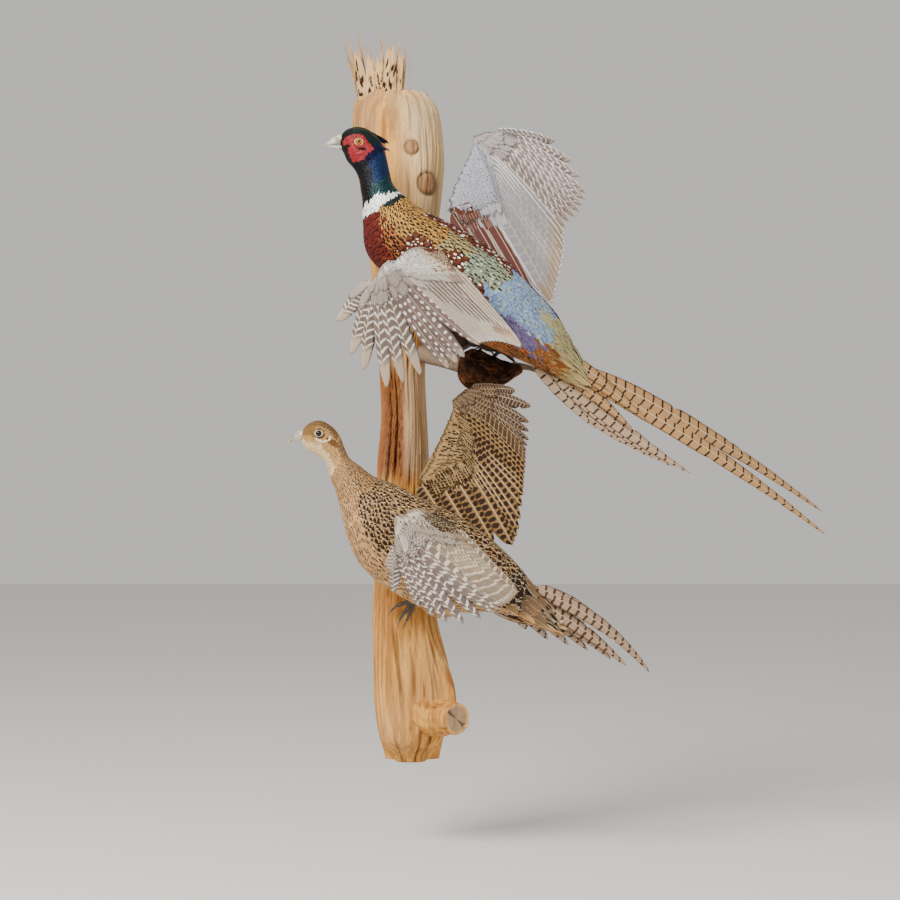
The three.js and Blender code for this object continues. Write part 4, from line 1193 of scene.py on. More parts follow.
def hen_coat(station, turn, seed=0):
    """The hen's colours by station and angle: speckled neck, crescents on the mantle, sparse spots
    on the breast and flank, and a plain belly."""
    rng = np.random.default_rng(seed)
    _, s, b, wander = wandering(station, turn, rng, 9, 0.4, 0.14, 8)
    coat = coat_of(len(station), "#ab8258")
    paint(coat, s < 12, "#b58b5a", ("#2c190d", 0.20), ("#c49e72", 0.12), place=0.82)
    paint(coat, (s < 5.5) & (b < 48), "#87673e", ("#4a321c", 0.34), ("#9f8052", 0.16))
    cheek = (s < 7.2) & (b > 56)
    paint(coat, cheek, "#ba9058", ("#6b4526", 0.0), ("#c49d66", 0.1))
    paint(coat, cheek & (b > 112), "#dcc190", fringe=("#e2c99c", 0.1))
    spot = body_surface(HEN_BODY, COAT_DEPTH)(station, turn) / MM - np.array(HEN_EYES[0])
    x, z = spot[..., 0], spot[..., 2]
    patch = ((x - 16) / 9) ** 2 + ((z + 10 + 0.4 * (x - 16)) / 4.5) ** 2 + 0.12 * wander
    paint(coat, (s < 7.5) & (patch < 1), "#7f5732", ("#4a2f1a", 0.25), ("#94683d", 0.1))
    arc = ((x - 3) / 11) ** 2 + ((z + 1.5) / 8.5) ** 2 + 0.04 * wander
    paint(coat, (s < 7.5) & (arc > 0.68) & (arc < 1.2) & (z < -3.0), "#e9ddc4", ("#4a2f1a", 0.0),
          ("#f0e6d0", 0.1))
    paint(coat, (s < 2.6) & (b > 44) & (b < 92), "#93693a", ("#4a2f1a", 0.2))
    paint(coat, (s > 6) & (s < 10.4) & (b < 64), "#a17a50", ("#2a190e", 0.26))
    mantle = (s > 10) & (b < 88)
    paint(coat, mantle, "#a07a50", ("#27160c", 0.40), ("#cbae82", 0.18), heart=("#8a5632", 0.0),
          place=0.76)
    paint(coat, mantle & (rng.uniform(size=len(s)) < 0.12), heart=("#8f5a34", 0.42))
    breast = (s > 9.6) & (b >= 84) & (b < 142)
    paint(coat, breast, "#b98e60", ("#2a180e", 0.20), ("#c8a47a", 0.14), heart=("#c49868", 0),
          place=0.82)
    paint(coat, breast & (rng.uniform(size=len(s)) < 0.3), mark=("#2a180e", 0.0))
    paint(coat, (b >= 138) & (s > 9.4), "#c09a68", ("#c8a372", 0.0), ("#cfae80", 0.12))
    paint(coat, (s > 15.4) & (b < 74), "#876749", ("#2b1b10", 0.50), ("#cbb597", 0.22),
          heart=("#b3906a", 0.0))
    return vary(coat, seed + 1, 0.13)


def metres_at(table, station):
    """A table of stations and millimetres, read in metres at stations."""
    rows = np.array(table)
    return np.interp(station, rows[:, 0], rows[:, 1]) * MM


def lay_body(surface, coat, start, end, form, seed, keep, close, slim):
    """Feathers in staggered rows over one length of a body, from station start to end.

    Rows stand close x a feather's length apart, and a feather is slim x its length wide.
    """
    roots = rows_round(surface, start, end, lambda s: metres_at(FEATHER_LENGTH, s) * close,
                       lambda s: metres_at(FEATHER_LENGTH, s) * close * 1.12, seed)
    if keep is not None:
        roots = roots[keep(surface(roots[:, 0], roots[:, 1]), roots)]
    rng = np.random.default_rng(seed + 7)
    s, turn = roots.T
    length = metres_at(FEATHER_LENGTH, s) * rng.uniform(0.88, 1.12, len(s))
    spot = pile(np.clip(s / LAST_STATION, 0, 1), (turn / (2 * math.pi)) % 1)
    rise = metres_at(COAT_DEPTH, s) * TIP_LIFT * rng.uniform(0.8, 1.25, len(s))
    return lay_feathers(
        surface, s, turn, length, length * slim, rise, coat(s, turn, seed), form, spot, out=-1,
        turn=rng.normal(0, 0.09, len(s)), camber=0.03, ragged=0.055, seed=seed)


def skin_batch(surface, coat, dents, rows=220, columns=88):
    """The bare skin as one closed shell, pressed in round the eyes."""
    s, turn = rows_and_turns(0, 18, rows, columns)
    points = surface(s, turn)
    centre = points.mean(1, keepdims=True)
    for eye, width, deep in dents:
        away = points - np.array(eye) * MM
        near = np.exp(-(away ** 2).sum(-1) / (width * MM) ** 2)
        points = points - unit(points - centre) * (near * deep * MM)[..., None]
    ground = coat(s.ravel(), turn.ravel(), 1)["ground"].reshape(rows, columns, 4)
    return closed_tube(points, {"ground": ground})


# ------------------------------------------------------------------------------ faces and bills
def wattle_radius(angle):
    """The bare face's radius in metres at angles round the eye."""
    rows = np.array(WATTLE, float)
    return np.interp(np.degrees(angle), rows[:, 0], rows[:, 1], period=360) * MM


def face_tracts(x, z):
    """1 in the two small feathered tracts inside the bare face, 0 away from them."""
    rough = 0.5 * np.sin(x * 2100) * np.sin(z * 1700 + x * 900)
    under = ((x - 4 * MM) / (6.2 * MM)) ** 2 + ((z + 9.3 * MM + 0.12 * x) / (1.9 * MM)) ** 2
    ahead = ((x + 16 * MM) / (4.2 * MM)) ** 2 + ((z + 5.4 * MM) / (2.3 * MM)) ** 2
    return ramp(-np.minimum(under, ahead) + rough, -1.4, -0.6)


def off_face(points, roots):
    """True for feather roots outside the bare face, or in its feathered tracts."""
    keep = np.ones(len(points), bool)
    side = np.abs(np.sin(roots[:, 1])) > 0.45
    for eye in COCK_EYES:
        away = points - np.array(eye) * MM
        angle = np.arctan2(away[:, 2], away[:, 0])
        near = np.hypot(away[:, 0], away[:, 2]) < wattle_radius(angle) * 0.93
        bare = near & (face_tracts(away[:, 0], away[:, 2]) < 0.5)
        keep &= ~(bare & side & (np.abs(away[:, 1]) < 0.012))
    return keep


def off_eyes(points, roots):
    """True for feather roots clear of the hen's eyes."""
    keep = np.ones(len(points), bool)
    for eye in HEN_EYES:
        away = points - np.array(eye) * MM
        keep &= np.linalg.norm(away, axis=-1) > HEN_EYE_RING * MM
    return keep


def side_of(place):
    """1 for a place on a head's side to the room, -1 for one on its side to the wall."""
    return 1 if place[1] < MID_HEAD else -1


def bare_face(surface, eye, seed):
    """The wattle on one side: a sheet from the lid to the face's outline, laid on the head.

    Its height is a dome that falls to the rim, swollen into lobes by noise and set with beads.
    """
    sign = side_of(eye)
    ring, turn = rows_and_turns(0, 1, 40, 150)
    lid = 5.0 * MM
    ragged = 1 + 0.025 * np.sin(turn * 11 + seed) + 0.03 * np.sin(turn * 23 + 2 * seed)
    outer = wattle_radius(turn) * ragged
    away = lid + (outer - lid) * ring
    x = eye[0] * MM + away * np.cos(turn)
    z = eye[2] * MM + away * np.sin(turn)
    s, angle = np.meshgrid(np.linspace(0.2, 8, 150), np.linspace(0.15, 0.85, 60) * math.pi * sign,
                           indexing="ij")
    skin = surface(s, angle).reshape(-1, 3)
    gap = (x.reshape(-1, 1) - skin[:, 0]) ** 2 + (z.reshape(-1, 1) - skin[:, 2]) ** 2
    weight = 1 / (gap + 4e-7) ** 2
    y = ((weight @ skin[:, 1]) / weight.sum(1)).reshape(x.shape)
    y = y + ((eye[1] - sign * 2.9) * MM - y) * (1 - ramp(ring, 0.0, 0.3))
    flat = pile(x, z)
    dome = np.sqrt(np.clip(1 - ring ** 4, 0, 1)) * (0.35 + 0.65 * ramp(ring, 0, 0.25))
    lobes = 0.55 + 0.3 * wave_noise(flat, 9 * MM, seed, 2)
    beads = 0.5 + 0.5 * wave_noise(flat, 1.5 * MM, seed + 3, 2)
    tract = face_tracts(x - eye[0] * MM, z - eye[2] * MM)
    swell = (2.4 * lobes + 0.45 * beads) * MM * dome * (1 - tract) - 0.0004 * tract
    top = pile(x, y - sign * swell, z)
    under = pile(x, y + sign * 0.0015, z)
    index = np.arange(top[..., 0].size).reshape(top.shape[:2])
    low = index + index.size
    quads = [grid_quads(index, wrap=True), grid_quads(low, wrap=True)[:, ::-1]]
    quads.append(grid_quads(np.stack([index[-1], low[-1]]), wrap=True))
    quads.append(grid_quads(np.stack([low[0], index[0]]), wrap=True))
    quads = np.concatenate(quads)
    if sign > 0:
        quads = quads[:, ::-1]
    spread = pile(ring * np.cos(turn), ring * np.sin(turn)) * 0.24 + 0.5
    spread = spread * [0.5, 1] + [0.0 if sign > 0 else 0.5, 0]
    spread = np.concatenate([spread.reshape(-1, 2), spread.reshape(-1, 2)])
    points = np.concatenate([top.reshape(-1, 3), under.reshape(-1, 3)])
    return batch(points, quads, (), spread, spread)


def eyelid(eye, radius, thick, ball):
    """A rolled lid round an eyeball: a torus, pinched at its front and back corners."""
    sign = side_of(eye)
    turn, round_ = np.meshgrid(np.linspace(0, 2 * math.pi, 64, endpoint=False),
                               np.linspace(0, 2 * math.pi, 14, endpoint=False), indexing="ij")
    body = thick * (1 + 0.25 * np.cos(2 * turn)) * MM
    away = radius * MM * (1 + 0.06 * np.cos(2 * turn)) + body * np.cos(round_)
    tall = 0.94
    x = eye[0] * MM + away * np.cos(turn)
    z = eye[2] * MM + away * np.sin(turn) * tall
    y = (eye[1] - sign * math.sqrt(ball ** 2 - radius ** 2)) * MM + body * np.sin(round_) * sign
    y = y - sign * 0.0004
    index = np.arange(x.size).reshape(x.shape)
    quads = grid_quads(np.concatenate([index, index[:1]]), wrap=True)
    points = pile(x, y, z).reshape(-1, 3)
    if inside_out(points, quads):
        quads = quads[:, ::-1]
    spread = pile(turn, round_).reshape(-1, 2) / 7
    return batch(points, quads, (), spread, spread)


def eyeball(eye, radius):
    """A glass eye: a sphere whose front bulges a little over the pupil."""
    sign = side_of(eye)
    polar, turn = rows_and_turns(0.02, math.pi - 0.02, 40, 56)
    bulge = 1 + 0.06 * np.exp(-(polar / 0.7) ** 2)
    away = radius * MM * bulge
    centre = np.array(eye) * MM
    x = centre[0] + away * np.sin(polar) * np.cos(turn)
    z = centre[2] + away * np.sin(polar) * np.sin(turn)
    y = centre[1] - sign * away * np.cos(polar)
    return closed_tube(pile(x, y, z))


def bill_half(base, length, high, wide, drop, upper=True, island=(0, 0, 1, 1)):
    """Half of a bill: rings along a curve that falls by the drop as a power of the length.

    The upper half has a ridged top, a hooked tip, an edge that overhangs and a nostril pressed in;
    the lower half is its shallow mirror.
    """
    t, turn = rows_and_turns(-0.25, 1, 46, 36)
    along = np.clip(t, 0, 1)
    size = (1 - along ** 1.7) ** 0.8 * 0.94 + 0.07
    c, s = np.cos(turn), np.sin(turn)
    ridge = np.where(c > 0, 1 + 0.10 * np.exp(-(s / 0.3) ** 2), 1.0 - 0.1 * along)
    if not upper:
        ridge = np.where(c > 0, 0.45, 0.95)
    keel = np.sign(c) * np.abs(c) ** 0.85
    x = (base[0] - t * length) * MM
    y = (base[1] - s * wide * size * (1 + 0.05 * (c < 0.2))) * MM
    z = (base[2] - drop * along ** 1.7 + keel * high * size * ridge) * MM
    if upper:
        for sign in (1, -1):
            beside = turn - math.pi / 2 * (2 - sign) + 0.45 * sign
            hole = np.exp(-((t - 0.2) / 0.10) ** 2 - (beside / 0.30) ** 2)
            y = y + np.sign(s) * hole * 0.0011
            z = z - hole * 0.0004
    return closed_tube(pile(x, y, z), island=island)


# ------------------------------------------------------------------------------ wings and tails
def coverts(wing, side, first, last, step, length, gap, slim, rise, coat, form, seed, island,
            span=(-0.3, 23.5), grow=0.0, hand=0.28):
    """Rows of covert feathers across a wing, from the front edge back.

    A row stands every step from first to last behind the quill roots; in a row the feathers keep
    one gap measured along the sheet. Lengths are in metres, grow towards the back by grow and are
    shorter on the hand by its share.
    """
    rng = np.random.default_rng(seed)
    surface = wing_surface(wing, side)
    turn = wing_turn(wing) * side
    roots = []
    for row, u in enumerate(np.arange(first, last, step)):
        place = np.linspace(*span, 260)
        root, _, _, front = wing_frame(wing, place)
        depth = np.linalg.norm(front - root, axis=-1)
        line = surface(np.full(260, u), place)
        pace = np.concatenate([[0], np.linalg.norm(np.diff(line, axis=0), axis=-1)])
        pace = np.cumsum(pace * (-u < depth * 0.98))
        count = max(2, int(pace[-1] / gap))
        marks = (np.arange(count) + 0.5 * (row % 2) + rng.normal(0, 0.08, count)) * gap
        spots = np.interp(marks, pace, place)
        spots = spots[np.interp(spots, place, depth) * 0.98 > -u]
        roots.append(pile(np.full(len(spots), u), spots))
    u, v = np.concatenate(roots).T
    u = u + rng.normal(0, step * 0.1, len(u))
    share = (u - first) / max(last - first, 1e-6)
    size = length * (1 + grow * share) * rng.uniform(0.92, 1.08, len(u))
    size = size * (1 - hand * (1 - ramp(v, 5, 12)))
    spot = pile(np.clip(share, 0, 1), (v + 1) / 25)
    rise = rise * (1 + 1.2 * grow * share ** 5)
    look = coat(u, v, seed)
    return lay_feathers(surface, u, v, size, size * slim, rise, look, form, spot, out=turn,
                        turn=rng.normal(0, 0.05, len(u)), island=island, camber=0.05, seed=seed,
                        floor=0.25)


def wing_turn(wing):
    """Plus or minus one: which way round a wing's sheet runs."""
    root, reach, face, _ = wing_frame(wing, np.array([10.0, 11.0]))
    tips = root + reach
    return float(np.sign(dot(np.cross(reach[0], tips[1] - tips[0]), face[0])[0]))


def arm_batch(wing, ground, rows=70, columns=22):
    """The skin of the arm under its coverts, closed round from the upper to the lower side."""
    place = np.linspace(-0.2, 23.4, rows)
    root, reach, _, front = wing_frame(wing, place)
    depth = np.linalg.norm(front - root, axis=-1)[:, None]
    length = np.linalg.norm(reach, axis=-1)[:, None]
    share = np.linspace(0, 1, columns)
    u = -depth * 0.985 + share * (depth * 0.985 + length * 0.10)
    v = np.broadcast_to(place[:, None], u.shape)
    top = wing_surface(wing, 1, -0.0005)(u, v)
    low = wing_surface(wing, -1, -0.0005)(u, v)
    rings = np.concatenate([top, low[:, ::-1]], 1)
    colour = np.zeros((rows, 2 * columns, 4))
    colour[..., :3] = shade(ground)
    return closed_tube(rings, {"ground": colour})


def vane_look(ground, spotted, bar, count, tip, ends, edge, width, *trim):
    """The five colours that a long feather's finish reads, from a row of a table of looks."""
    return {
        "ground": [*shade(ground), spotted], "mark": [*shade(bar), count],
        "heart": [*shade(tip), ends], "fringe": [*shade(edge), width], "trim": list(trim),
    }


def flight_look(i, kind):
    """The colours of quill i, for the near or far wing of the cock or of the hen."""
    inner = 22 if kind == "cock far" else 18
    return vane_look(*QUILL_LOOKS[kind][int(np.digitize(i, [6, 10, inner]))])


def flight_feathers(wing, kind, half, second, seed):
    """The quills of a wing and three more towards the shoulder, each with a light curve.

    The primaries bend back along the row and droop at the tip; secondaries are straighter.
    """
    rng = np.random.default_rng(seed)
    made = []
    count = QUILLS + 3
    for i in range(count):
        place = min(i, QUILLS - 1) + 0.9 * max(0, i - QUILLS + 1)
        root, reach, face, _ = (k[0] for k in wing_frame(wing, np.array([float(place)])))
        ahead = unit(np.cross(reach, face)) * wing_turn(wing)
        size = np.linalg.norm(reach)
        primary = i < 10
        bow = size * (0.035 if primary else 0.015)
        droop = size * (0.03 if primary else 0.012)
        stack = face * (i * 0.00022 - 0.0012)

        def path(t, root=root, reach=reach, ahead=ahead, face=face, bow=bow, droop=droop,
                 stack=stack):
            t = np.asarray(t)[..., None]
            bend = ahead * bow * 4 * t * (1 - t) - face * droop * (t ** 2 - t) * 0.5
            return root + reach * t + bend + stack * (0.4 + t)

        look = flight_look(i, kind)
        for key in ("ground", "heart"):
            look[key] = [*(np.array(look[key][:3]) * rng.uniform(0.92, 1.08)), look[key][3]]
        column = 1 / count
        strip = (column * (i + 0.06), 0.02, column * 0.88, 0.96)
        made.append(quill_feather(
            path, face, (half if primary else second) * MM, look, strip,
            rows=44 if primary else 34, split=4 if primary else 2,
            leading=0.5 + (-0.2 if i < 6 else -0.12) * wing_turn(wing),
            tip=0.74 if primary else 0.80, sharp=1.5 if primary else 1.35,
            taper=0.30 if i < 7 else 0.22, base=0.12, seed=seed * 40 + i,
            cant=0.0010 * wing_turn(wing)))
    return made


def wing_coat(kind):
    """Colours of a wing's coverts by distance from the quill roots and place in the row."""
    def coat(u, v, seed):
        rng = np.random.default_rng(seed)
        count = len(u)
        v = v + rng.normal(0, 0.5, count)
        every = slice(None)
        if kind == "cock near":
            colours = coat_of(count, "#d2cbc3")
            paint(colours, every, mark=("#c2b8ae", 0.5), fringe=("#e4ded5", 0.16), place=0.6)
            paint(colours, v < 8, "#bfb3aa", ("#ac9f95", 0.3), ("#d9d0c8", 0.2))
            paint(colours, v > 17.5, "#c9bca8", ("#6b2f22", 0.26), ("#dccfb8", 0.2))
            paint(colours, v > 20.0, "#6f3226", ("#2a130e", 0.3), ("#cbb592", 0.24))
        elif kind == "cock far":
            colours = coat_of(count, "#a3a3ac")
            paint(colours, every, mark=("#93929d", 0.3), fringe=("#adadb6", 0.2))
            ticked = (rng.uniform(size=count) < 0.12) & (v > 9) & (u > -0.05)
            paint(colours, ticked, mark=("#6a5450", 0.2))
            paint(colours, v < 8.5, "#a49896", ("#93857f", 0.4), ("#c8bebb", 0.16))
            inside = v + u * 40 + rng.normal(0, 0.5, count) > 22.6
            paint(colours, inside, "#5f2a22", ("#1a0e0a", 0.0), ("#8f5a40", 0.12))
            paint(colours, inside & (rng.uniform(size=count) < 0.35), mark=("#1a0e0a", 0.36),
                  heart=("#f3ecdf", 0.62))
        elif kind == "hen near":
            colours = coat_of(count, "#cabcac")
            paint(colours, every, mark=("#4a382c", 0.28), fringe=("#e2d6c7", 0.2), place=0.84)
            paint(colours, v > 16, "#a98d6e", ("#2e1c10", 0.5), ("#d0b792", 0.2), place=0.76)
        else:
            colours = coat_of(count, "#9c7c52")
            paint(colours, every, mark=("#2c190b", 0.33), fringe=("#b89b6c", 0.14), place=0.78)
            paint(colours, rng.uniform(size=count) < 0.3, mark=("#2c190b", 0.0))
            paint(colours, v < 6, "#7d6a55", ("#36231a", 0.44), ("#a8937a", 0.16))
        return vary(colours, seed, 0.07)
    return coat


def greater_looks(kind, v, seed):
    """Colours of the greater coverts: striped on the hand, plain or edged with cream on the arm."""
    rng = np.random.default_rng(seed)
    step = np.digitize(v + rng.normal(0, 0.4, len(v)), [9.4, 22.2 if kind == "cock far" else 18.4])
    share = 0.62 if kind == "hen far" else 0.34
    rows = [vane_look(*r[:4], r[0], 0.97, *r[4:6], share, 0.62, 0.9, r[6])
            for r in GREATER_LOOKS[kind]]
    light = rng.uniform(0.92, 1.08, (len(v), 1))
    looks = {key: np.array([row[key] for row in rows])[step] for key in rows[0]}
    for key in ("ground", "heart"):
        looks[key][:, :3] *= light
    return looks


def wing_pieces(wing, kind, name, slot, node, halves, under, seed):
    """A wing in four pieces: the arm with its lining, the quills, and the greater and the small
    coverts."""
    coat = wing_coat(kind)
    arm = arm_batch(wing, under)

    def lining(u, v, seed):
        return vary(coat_of(len(u), under), seed, 0.06)

    def greater(u, v, seed):
        return greater_looks(kind, v, seed)

    beneath = [
        coverts(wing, -1, -0.036, 0.0, 0.006, 0.016, 0.0075, 0.7, 0.0012, lining, SMALL, seed + 1,
                (0, 0, 1, 0.5)),
        coverts(wing, -1, 0.001, 0.019, 0.009, 0.034, 0.009, 0.42, 0.0012, lining, BROAD, seed + 2,
                (0, 0.5, 1, 0.5)),
        coverts(wing, -1, -0.060, -0.036, 0.0036, 0.0105, 0.0045, 0.72, 0.0014, coat, SMALL,
                seed + 8, (0, 0, 1, 0.4)),
    ]
    arm["colours"] = dict.fromkeys(LAYERS, arm["colours"]["ground"])
    arm["bake"] = np.full((len(arm["points"]), 2), 0.995)
    arm["local"] = np.full((len(arm["points"]), 2), 0.3)
    skin = plumage_finish(name + " lining", Roughness=0.8)
    make_piece(name + "_lining", [arm] + beneath, skin, slot, [node])
    quills = flight_feathers(wing, kind, *halves, seed + 3)
    finish = vane_finish(name + " vanes", Roughness=0.55)
    make_piece(name + "_quills", quills, finish, slot, [node])
    large = coverts(wing, 1, 0.0005, 0.0045, 0.009, 0.046, 0.0040, 0.25, 0.0020, greater, BROAD,
                    seed + 4, (0, 0, 0.5, 1), span=(-0.4, 23.5), hand=0.06)
    medium = coverts(wing, 1, -0.004, -0.0035, 0.01, 0.031, 0.0036, 0.34, 0.0023, greater, BROAD,
                     seed + 5, (0.5, 0, 0.5, 1), hand=0.06)
    make_piece(name + "_greater_coverts", [large, medium], finish, slot, [node])
    layers = [
        coverts(wing, 1, -0.0100, -0.0055, 0.0030, 0.020, 0.0036, 0.48, 0.0020, coat, BROAD,
                seed + 6, (0.3, 0, 0.15, 1)),
        coverts(wing, 1, -0.084, -0.0035, 0.0030, 0.0125, 0.0040, 0.62, 0.0013, coat, SMALL,
                seed + 7, (0.45, 0, 0.45, 1), grow=0.35),
    ]
    if kind.endswith("near"):
        layers.extend(alula(wing, coat, seed + 9))
    plain = plumage_finish(name + " coverts", 20.0, Roughness=0.62)
    make_piece(name + "_coverts", layers, plain, slot, [node])


def alula(wing, coat, seed):
    """Three short stiff feathers that lie along the hand from the wrist."""
    made = []
    for k in range(3):
        place = WRIST - 1.2 - 1.1 * k
        root, reach, face, front = (v[0] for v in wing_frame(wing, np.array([place])))
        reach = unit(reach)
        start = front + (root - front) * (0.35 + 0.2 * k) + face * 0.0035
        tilt = unit(reach + unit(wing_frame(wing, np.array([2.0]))[0][0] - root) * (1.1 - 0.2 * k))
        path = bowed(start, start + tilt * (0.046 - 0.007 * k), 0.0, face * 0.0016)
        look = one_look(coat, 0.0, place, seed)
        look["ground"][3] = 0
        made.append(quill_feather(path, face, 0.0042, look, (0.9, 0.1 * k, 0.02, 0.09), rows=16,
                                  split=1, leading=0.4, tip=0.7, cant=0.0008, seed=seed + k))
    return made


def tail_pieces(tail, name, looks, taper, seed):
    """The tail: long vanes from one root, those nearest the middle on top."""
    root = np.array(tail["root"], float)
    across = np.array(tail["across"], float)
    face = unit(np.array(tail["face"], float))
    made = []
    for i, (place, tip, half, bow) in enumerate(tail["feathers"]):
        tuck = np.array([-24, 0, 35]) * np.clip(-place / 1.3, 0, 1) * (name == "cock")
        start = (root + across * place + tuck + [0, (i % 3) * 2 - 4, 0]) * MM
        end = np.array(tip, float) * MM
        length = np.linalg.norm(end - start)
        path = bowed(start, end, np.array([0.55, 0, 0.83]) * bow * MM, face * length * 0.012)
        look = looks(length, place, seed + i)
        made.append(quill_feather(
            path, face, half * MM, look, (i * 0.1 + 0.005, 0.01, 0.09, 0.98), rows=90, split=4,
            tip=0.80, sharp=1.6, base=0.2, taper=taper, seed=seed + i))
    return made


def tail_looks(ground, bar, pitch, share):
    """A function that gives each tail feather its barring, at one pitch in metres."""
    def looks(length, place, seed):
        rng = np.random.default_rng(seed)
        tone = np.array(ground) * rng.uniform(0.9, 1.1)
        tone = tone + (shade("#b9b3ac") - tone) * (0.28 if place < -0.3 else 0.0)
        return {
            "ground": [*tone, 0], "mark": [*shade(bar), length / pitch],
            "heart": [*(tone * 0.95), 0.98], "fringe": [*(tone * [0.95, 0.86, 0.82]), 0.10],
            "trim": [share, 0.54, 0.94, 0.95],
        }
    return looks


def tail_coverts(stations, tail, coat, count, reach, half, first, last, seed):
    """Long loose feathers from the rump that run on over the root of the tail."""
    surface = body_surface(stations, COAT_DEPTH)
    rng = np.random.default_rng(seed)
    root = np.array(tail["root"], float) * MM
    ends = np.array([f[1] for f in tail["feathers"]], float).mean(0) * MM
    axis = unit(ends - root)
    made = []
    for i in range(count):
        turn = (i / count) * 2 * math.pi + rng.normal(0, 0.1)
        s = rng.uniform(first, last)
        point, _, _, normal = (k[0] for k in frame_on(surface, np.array([s]), np.array([turn])))
        normal = -normal
        centre = row_at(stations, np.array([s]))[0, :3] * MM
        size = reach * rng.uniform(0.8, 1.2)
        path = bowed(point + normal * 0.0015, centre + (point - centre) * 0.55 + axis * size,
                     normal * size * 0.06)
        look = one_look(coat, s, turn, seed + i)
        place = (min(s / LAST_STATION, 0.99), (turn / (2 * math.pi)) % 1)
        made.append(quill_feather(path, normal, half * rng.uniform(0.85, 1.15), look,
                                  (place[0] - 0.002, place[1] * 0.98, 0.004, 0.012), rows=16,
                                  split=5, tip=0.5, sharp=1.7, base=0.25, seed=seed + i))
    return made


def ear_tufts(seed):
    """The two horn-like tufts behind the ears, fourteen hackles each."""
    rng = np.random.default_rng(seed)
    made = []
    for base, tip in (([-40, -152, 13], [-11, -149, 1]), ([-43, -171, 0], [-8, -171, -11])):
        for k in range(14):
            start = (np.array(base, float) + rng.normal(0, [1.5, 1.0, 3.0])) * MM
            end = (np.array(tip, float) + rng.normal(0, [1.2, 1.2, 1.2])) * MM
            end = start + (end - start) * rng.uniform(0.65, 1.0)
            path = bowed(start, end, np.array([0, 0, 0.0022]))
            look = dict.fromkeys(LAYERS, [*shade("#0a1236" if k % 3 else "#070a18"), 0.0])
            place = (0.25 + 0.004 * k, 0.5 - 0.3 * side_of(base), 0.003, 0.003)
            made.append(quill_feather(path, np.array([0, -0.6 * side_of(base), 0.8]), 0.0032, look,
                                      place, rows=12, split=1, tip=0.45, sharp=1.4, seed=seed + k))
    return made


def body_pieces(bird, stations, coat, dents, rows, nodes, seed):
    """A bird's skin, pressed in round the eyes, and its feathers in pieces from bill to tail.

    A row is name, first and last station, form, finish, slot, spacing, slimness, a test that keeps
    roots off bare skin, and other feathers of the same piece.
    """
    surface = body_surface(stations, COAT_DEPTH)
    deeper = body_surface(stations, [[s, d + 0.3] for s, d in COAT_DEPTH])
    make_piece(bird + "_skin", [skin_batch(deeper, coat, dents)],
               skin_finish(bird + " skin", Roughness=0.8), rows[-1][5], nodes)
    for k, (name, start, end, form, finish, slot, close, slim, keep, more) in enumerate(rows):
        made = lay_body(surface, coat, start, end, form, seed + k, keep, close, slim)
        make_piece(f"{bird}_{name}_feathers", [made, *more], finish, slot, nodes)


# ------------------------------------------------------------------------------ legs
def claw(tip, behind, long, thick):
    """A claw: a horn that goes on from the toe's end and bends down, in millimetres."""
    ahead = unit(tip - behind)
    down = np.array([0, 0.25, -1.0])
    steps = [(0.0, 0.0), (0.45, 0.08), (0.8, 0.3), (1.0, 0.62)]
    points = [tip + ahead * long * a + down * long * b for a, b in steps]
    return rod(points, [thick, thick * 0.8, thick * 0.5, 0.18], 16, 12, 0.8)


def toe(points, thick):
    """A toe: pads swell under every joint, and it thins towards the claw."""
    points = np.array(points, float)
    count = len(points)
    t = np.linspace(0, count - 1, 40)
    share = t / (count - 1)
    width = thick + (1.3 - thick) * share ** 1.5
    width = width * (1 + 0.12 * np.cos(share * 4 * math.pi))
    surface = rod_surface(points, np.ones(count))
    turn = np.linspace(0, 2 * math.pi, 16, endpoint=False)
    tt, vv = np.meshgrid(t, turn, indexing="ij")
    middle = row_at(points * MM, tt)
    ring = surface(tt, vv) - middle
    scutes = 1 + 0.07 * np.abs(np.sin(share * 17 * math.pi))
    return closed_tube(middle + ring * (width * scutes)[:, None, None])


def leg_pieces(node, slot, ground, seed):
    """A leg: scaly shank and toes, claws, and a thigh with its feathers."""
    leg = LEGS[node]
    name = node if node.startswith("cock") else "hen_leg"
    shank = rod(*leg["shank"], 40, 20)
    toes = [toe(points, 3.0) for points in leg["toes"]]
    scales = scale_finish(name + " scales")
    make_piece(name + "_shank", side_by_side([shank] + toes), scales, slot, [node])
    claws = [claw(np.array(p[-1], float), np.array(p[-2], float), 8.5, 1.35) for p in leg["toes"]]
    make_piece(name + "_claws", side_by_side(claws),
               horn_finish(name + " claw horn", "#6b5d4d", "#241d18"), slot, [node])
    points, radii = leg["thigh"]
    surface = rod_surface(points, [max(r - 3, 2.0) for r in radii])
    skin = closed_tube(surface(*rows_and_turns(0, 3, 50, 40)))
    skin["colours"] = dict.fromkeys(LAYERS, np.array([*shade(ground), 0.0]))
    skin["local"] = skin["local"] * 0 + 0.3
    roots = rows_round(surface, 0.1, 2.9, lambda s: 0.0048 - 0.0009 * s,
                       lambda s: 0.0052 - 0.0009 * s, seed)
    s, turn = roots.T
    coat = vary(coat_of(len(s), ground), seed, 0.12)
    spot = pile(s / 3, (turn / (2 * math.pi)) % 1)
    length = 0.015 - 0.003 * s
    feathers = lay_feathers(surface, s, turn, length, length * 0.6, 0.0032, coat, SMALL, spot,
                            out=-1, seed=seed)
    finish = plumage_finish(name + " thigh plumage", Roughness=0.75)
    make_piece(name + "_thigh", [skin, feathers], finish, slot, [node])


# ------------------------------------------------------------------------------ driftwood
def wood_wear_and_shade(crack, pale, stain, grey):
    """The colours of wood, from arrays or numbers for each: crack, the painted shade in cracks and
    hollows (on the burl, bark that has broken away), pale, stain and grey.
    """
    return np.stack(np.broadcast_arrays(crack, pale, stain, grey), -1)


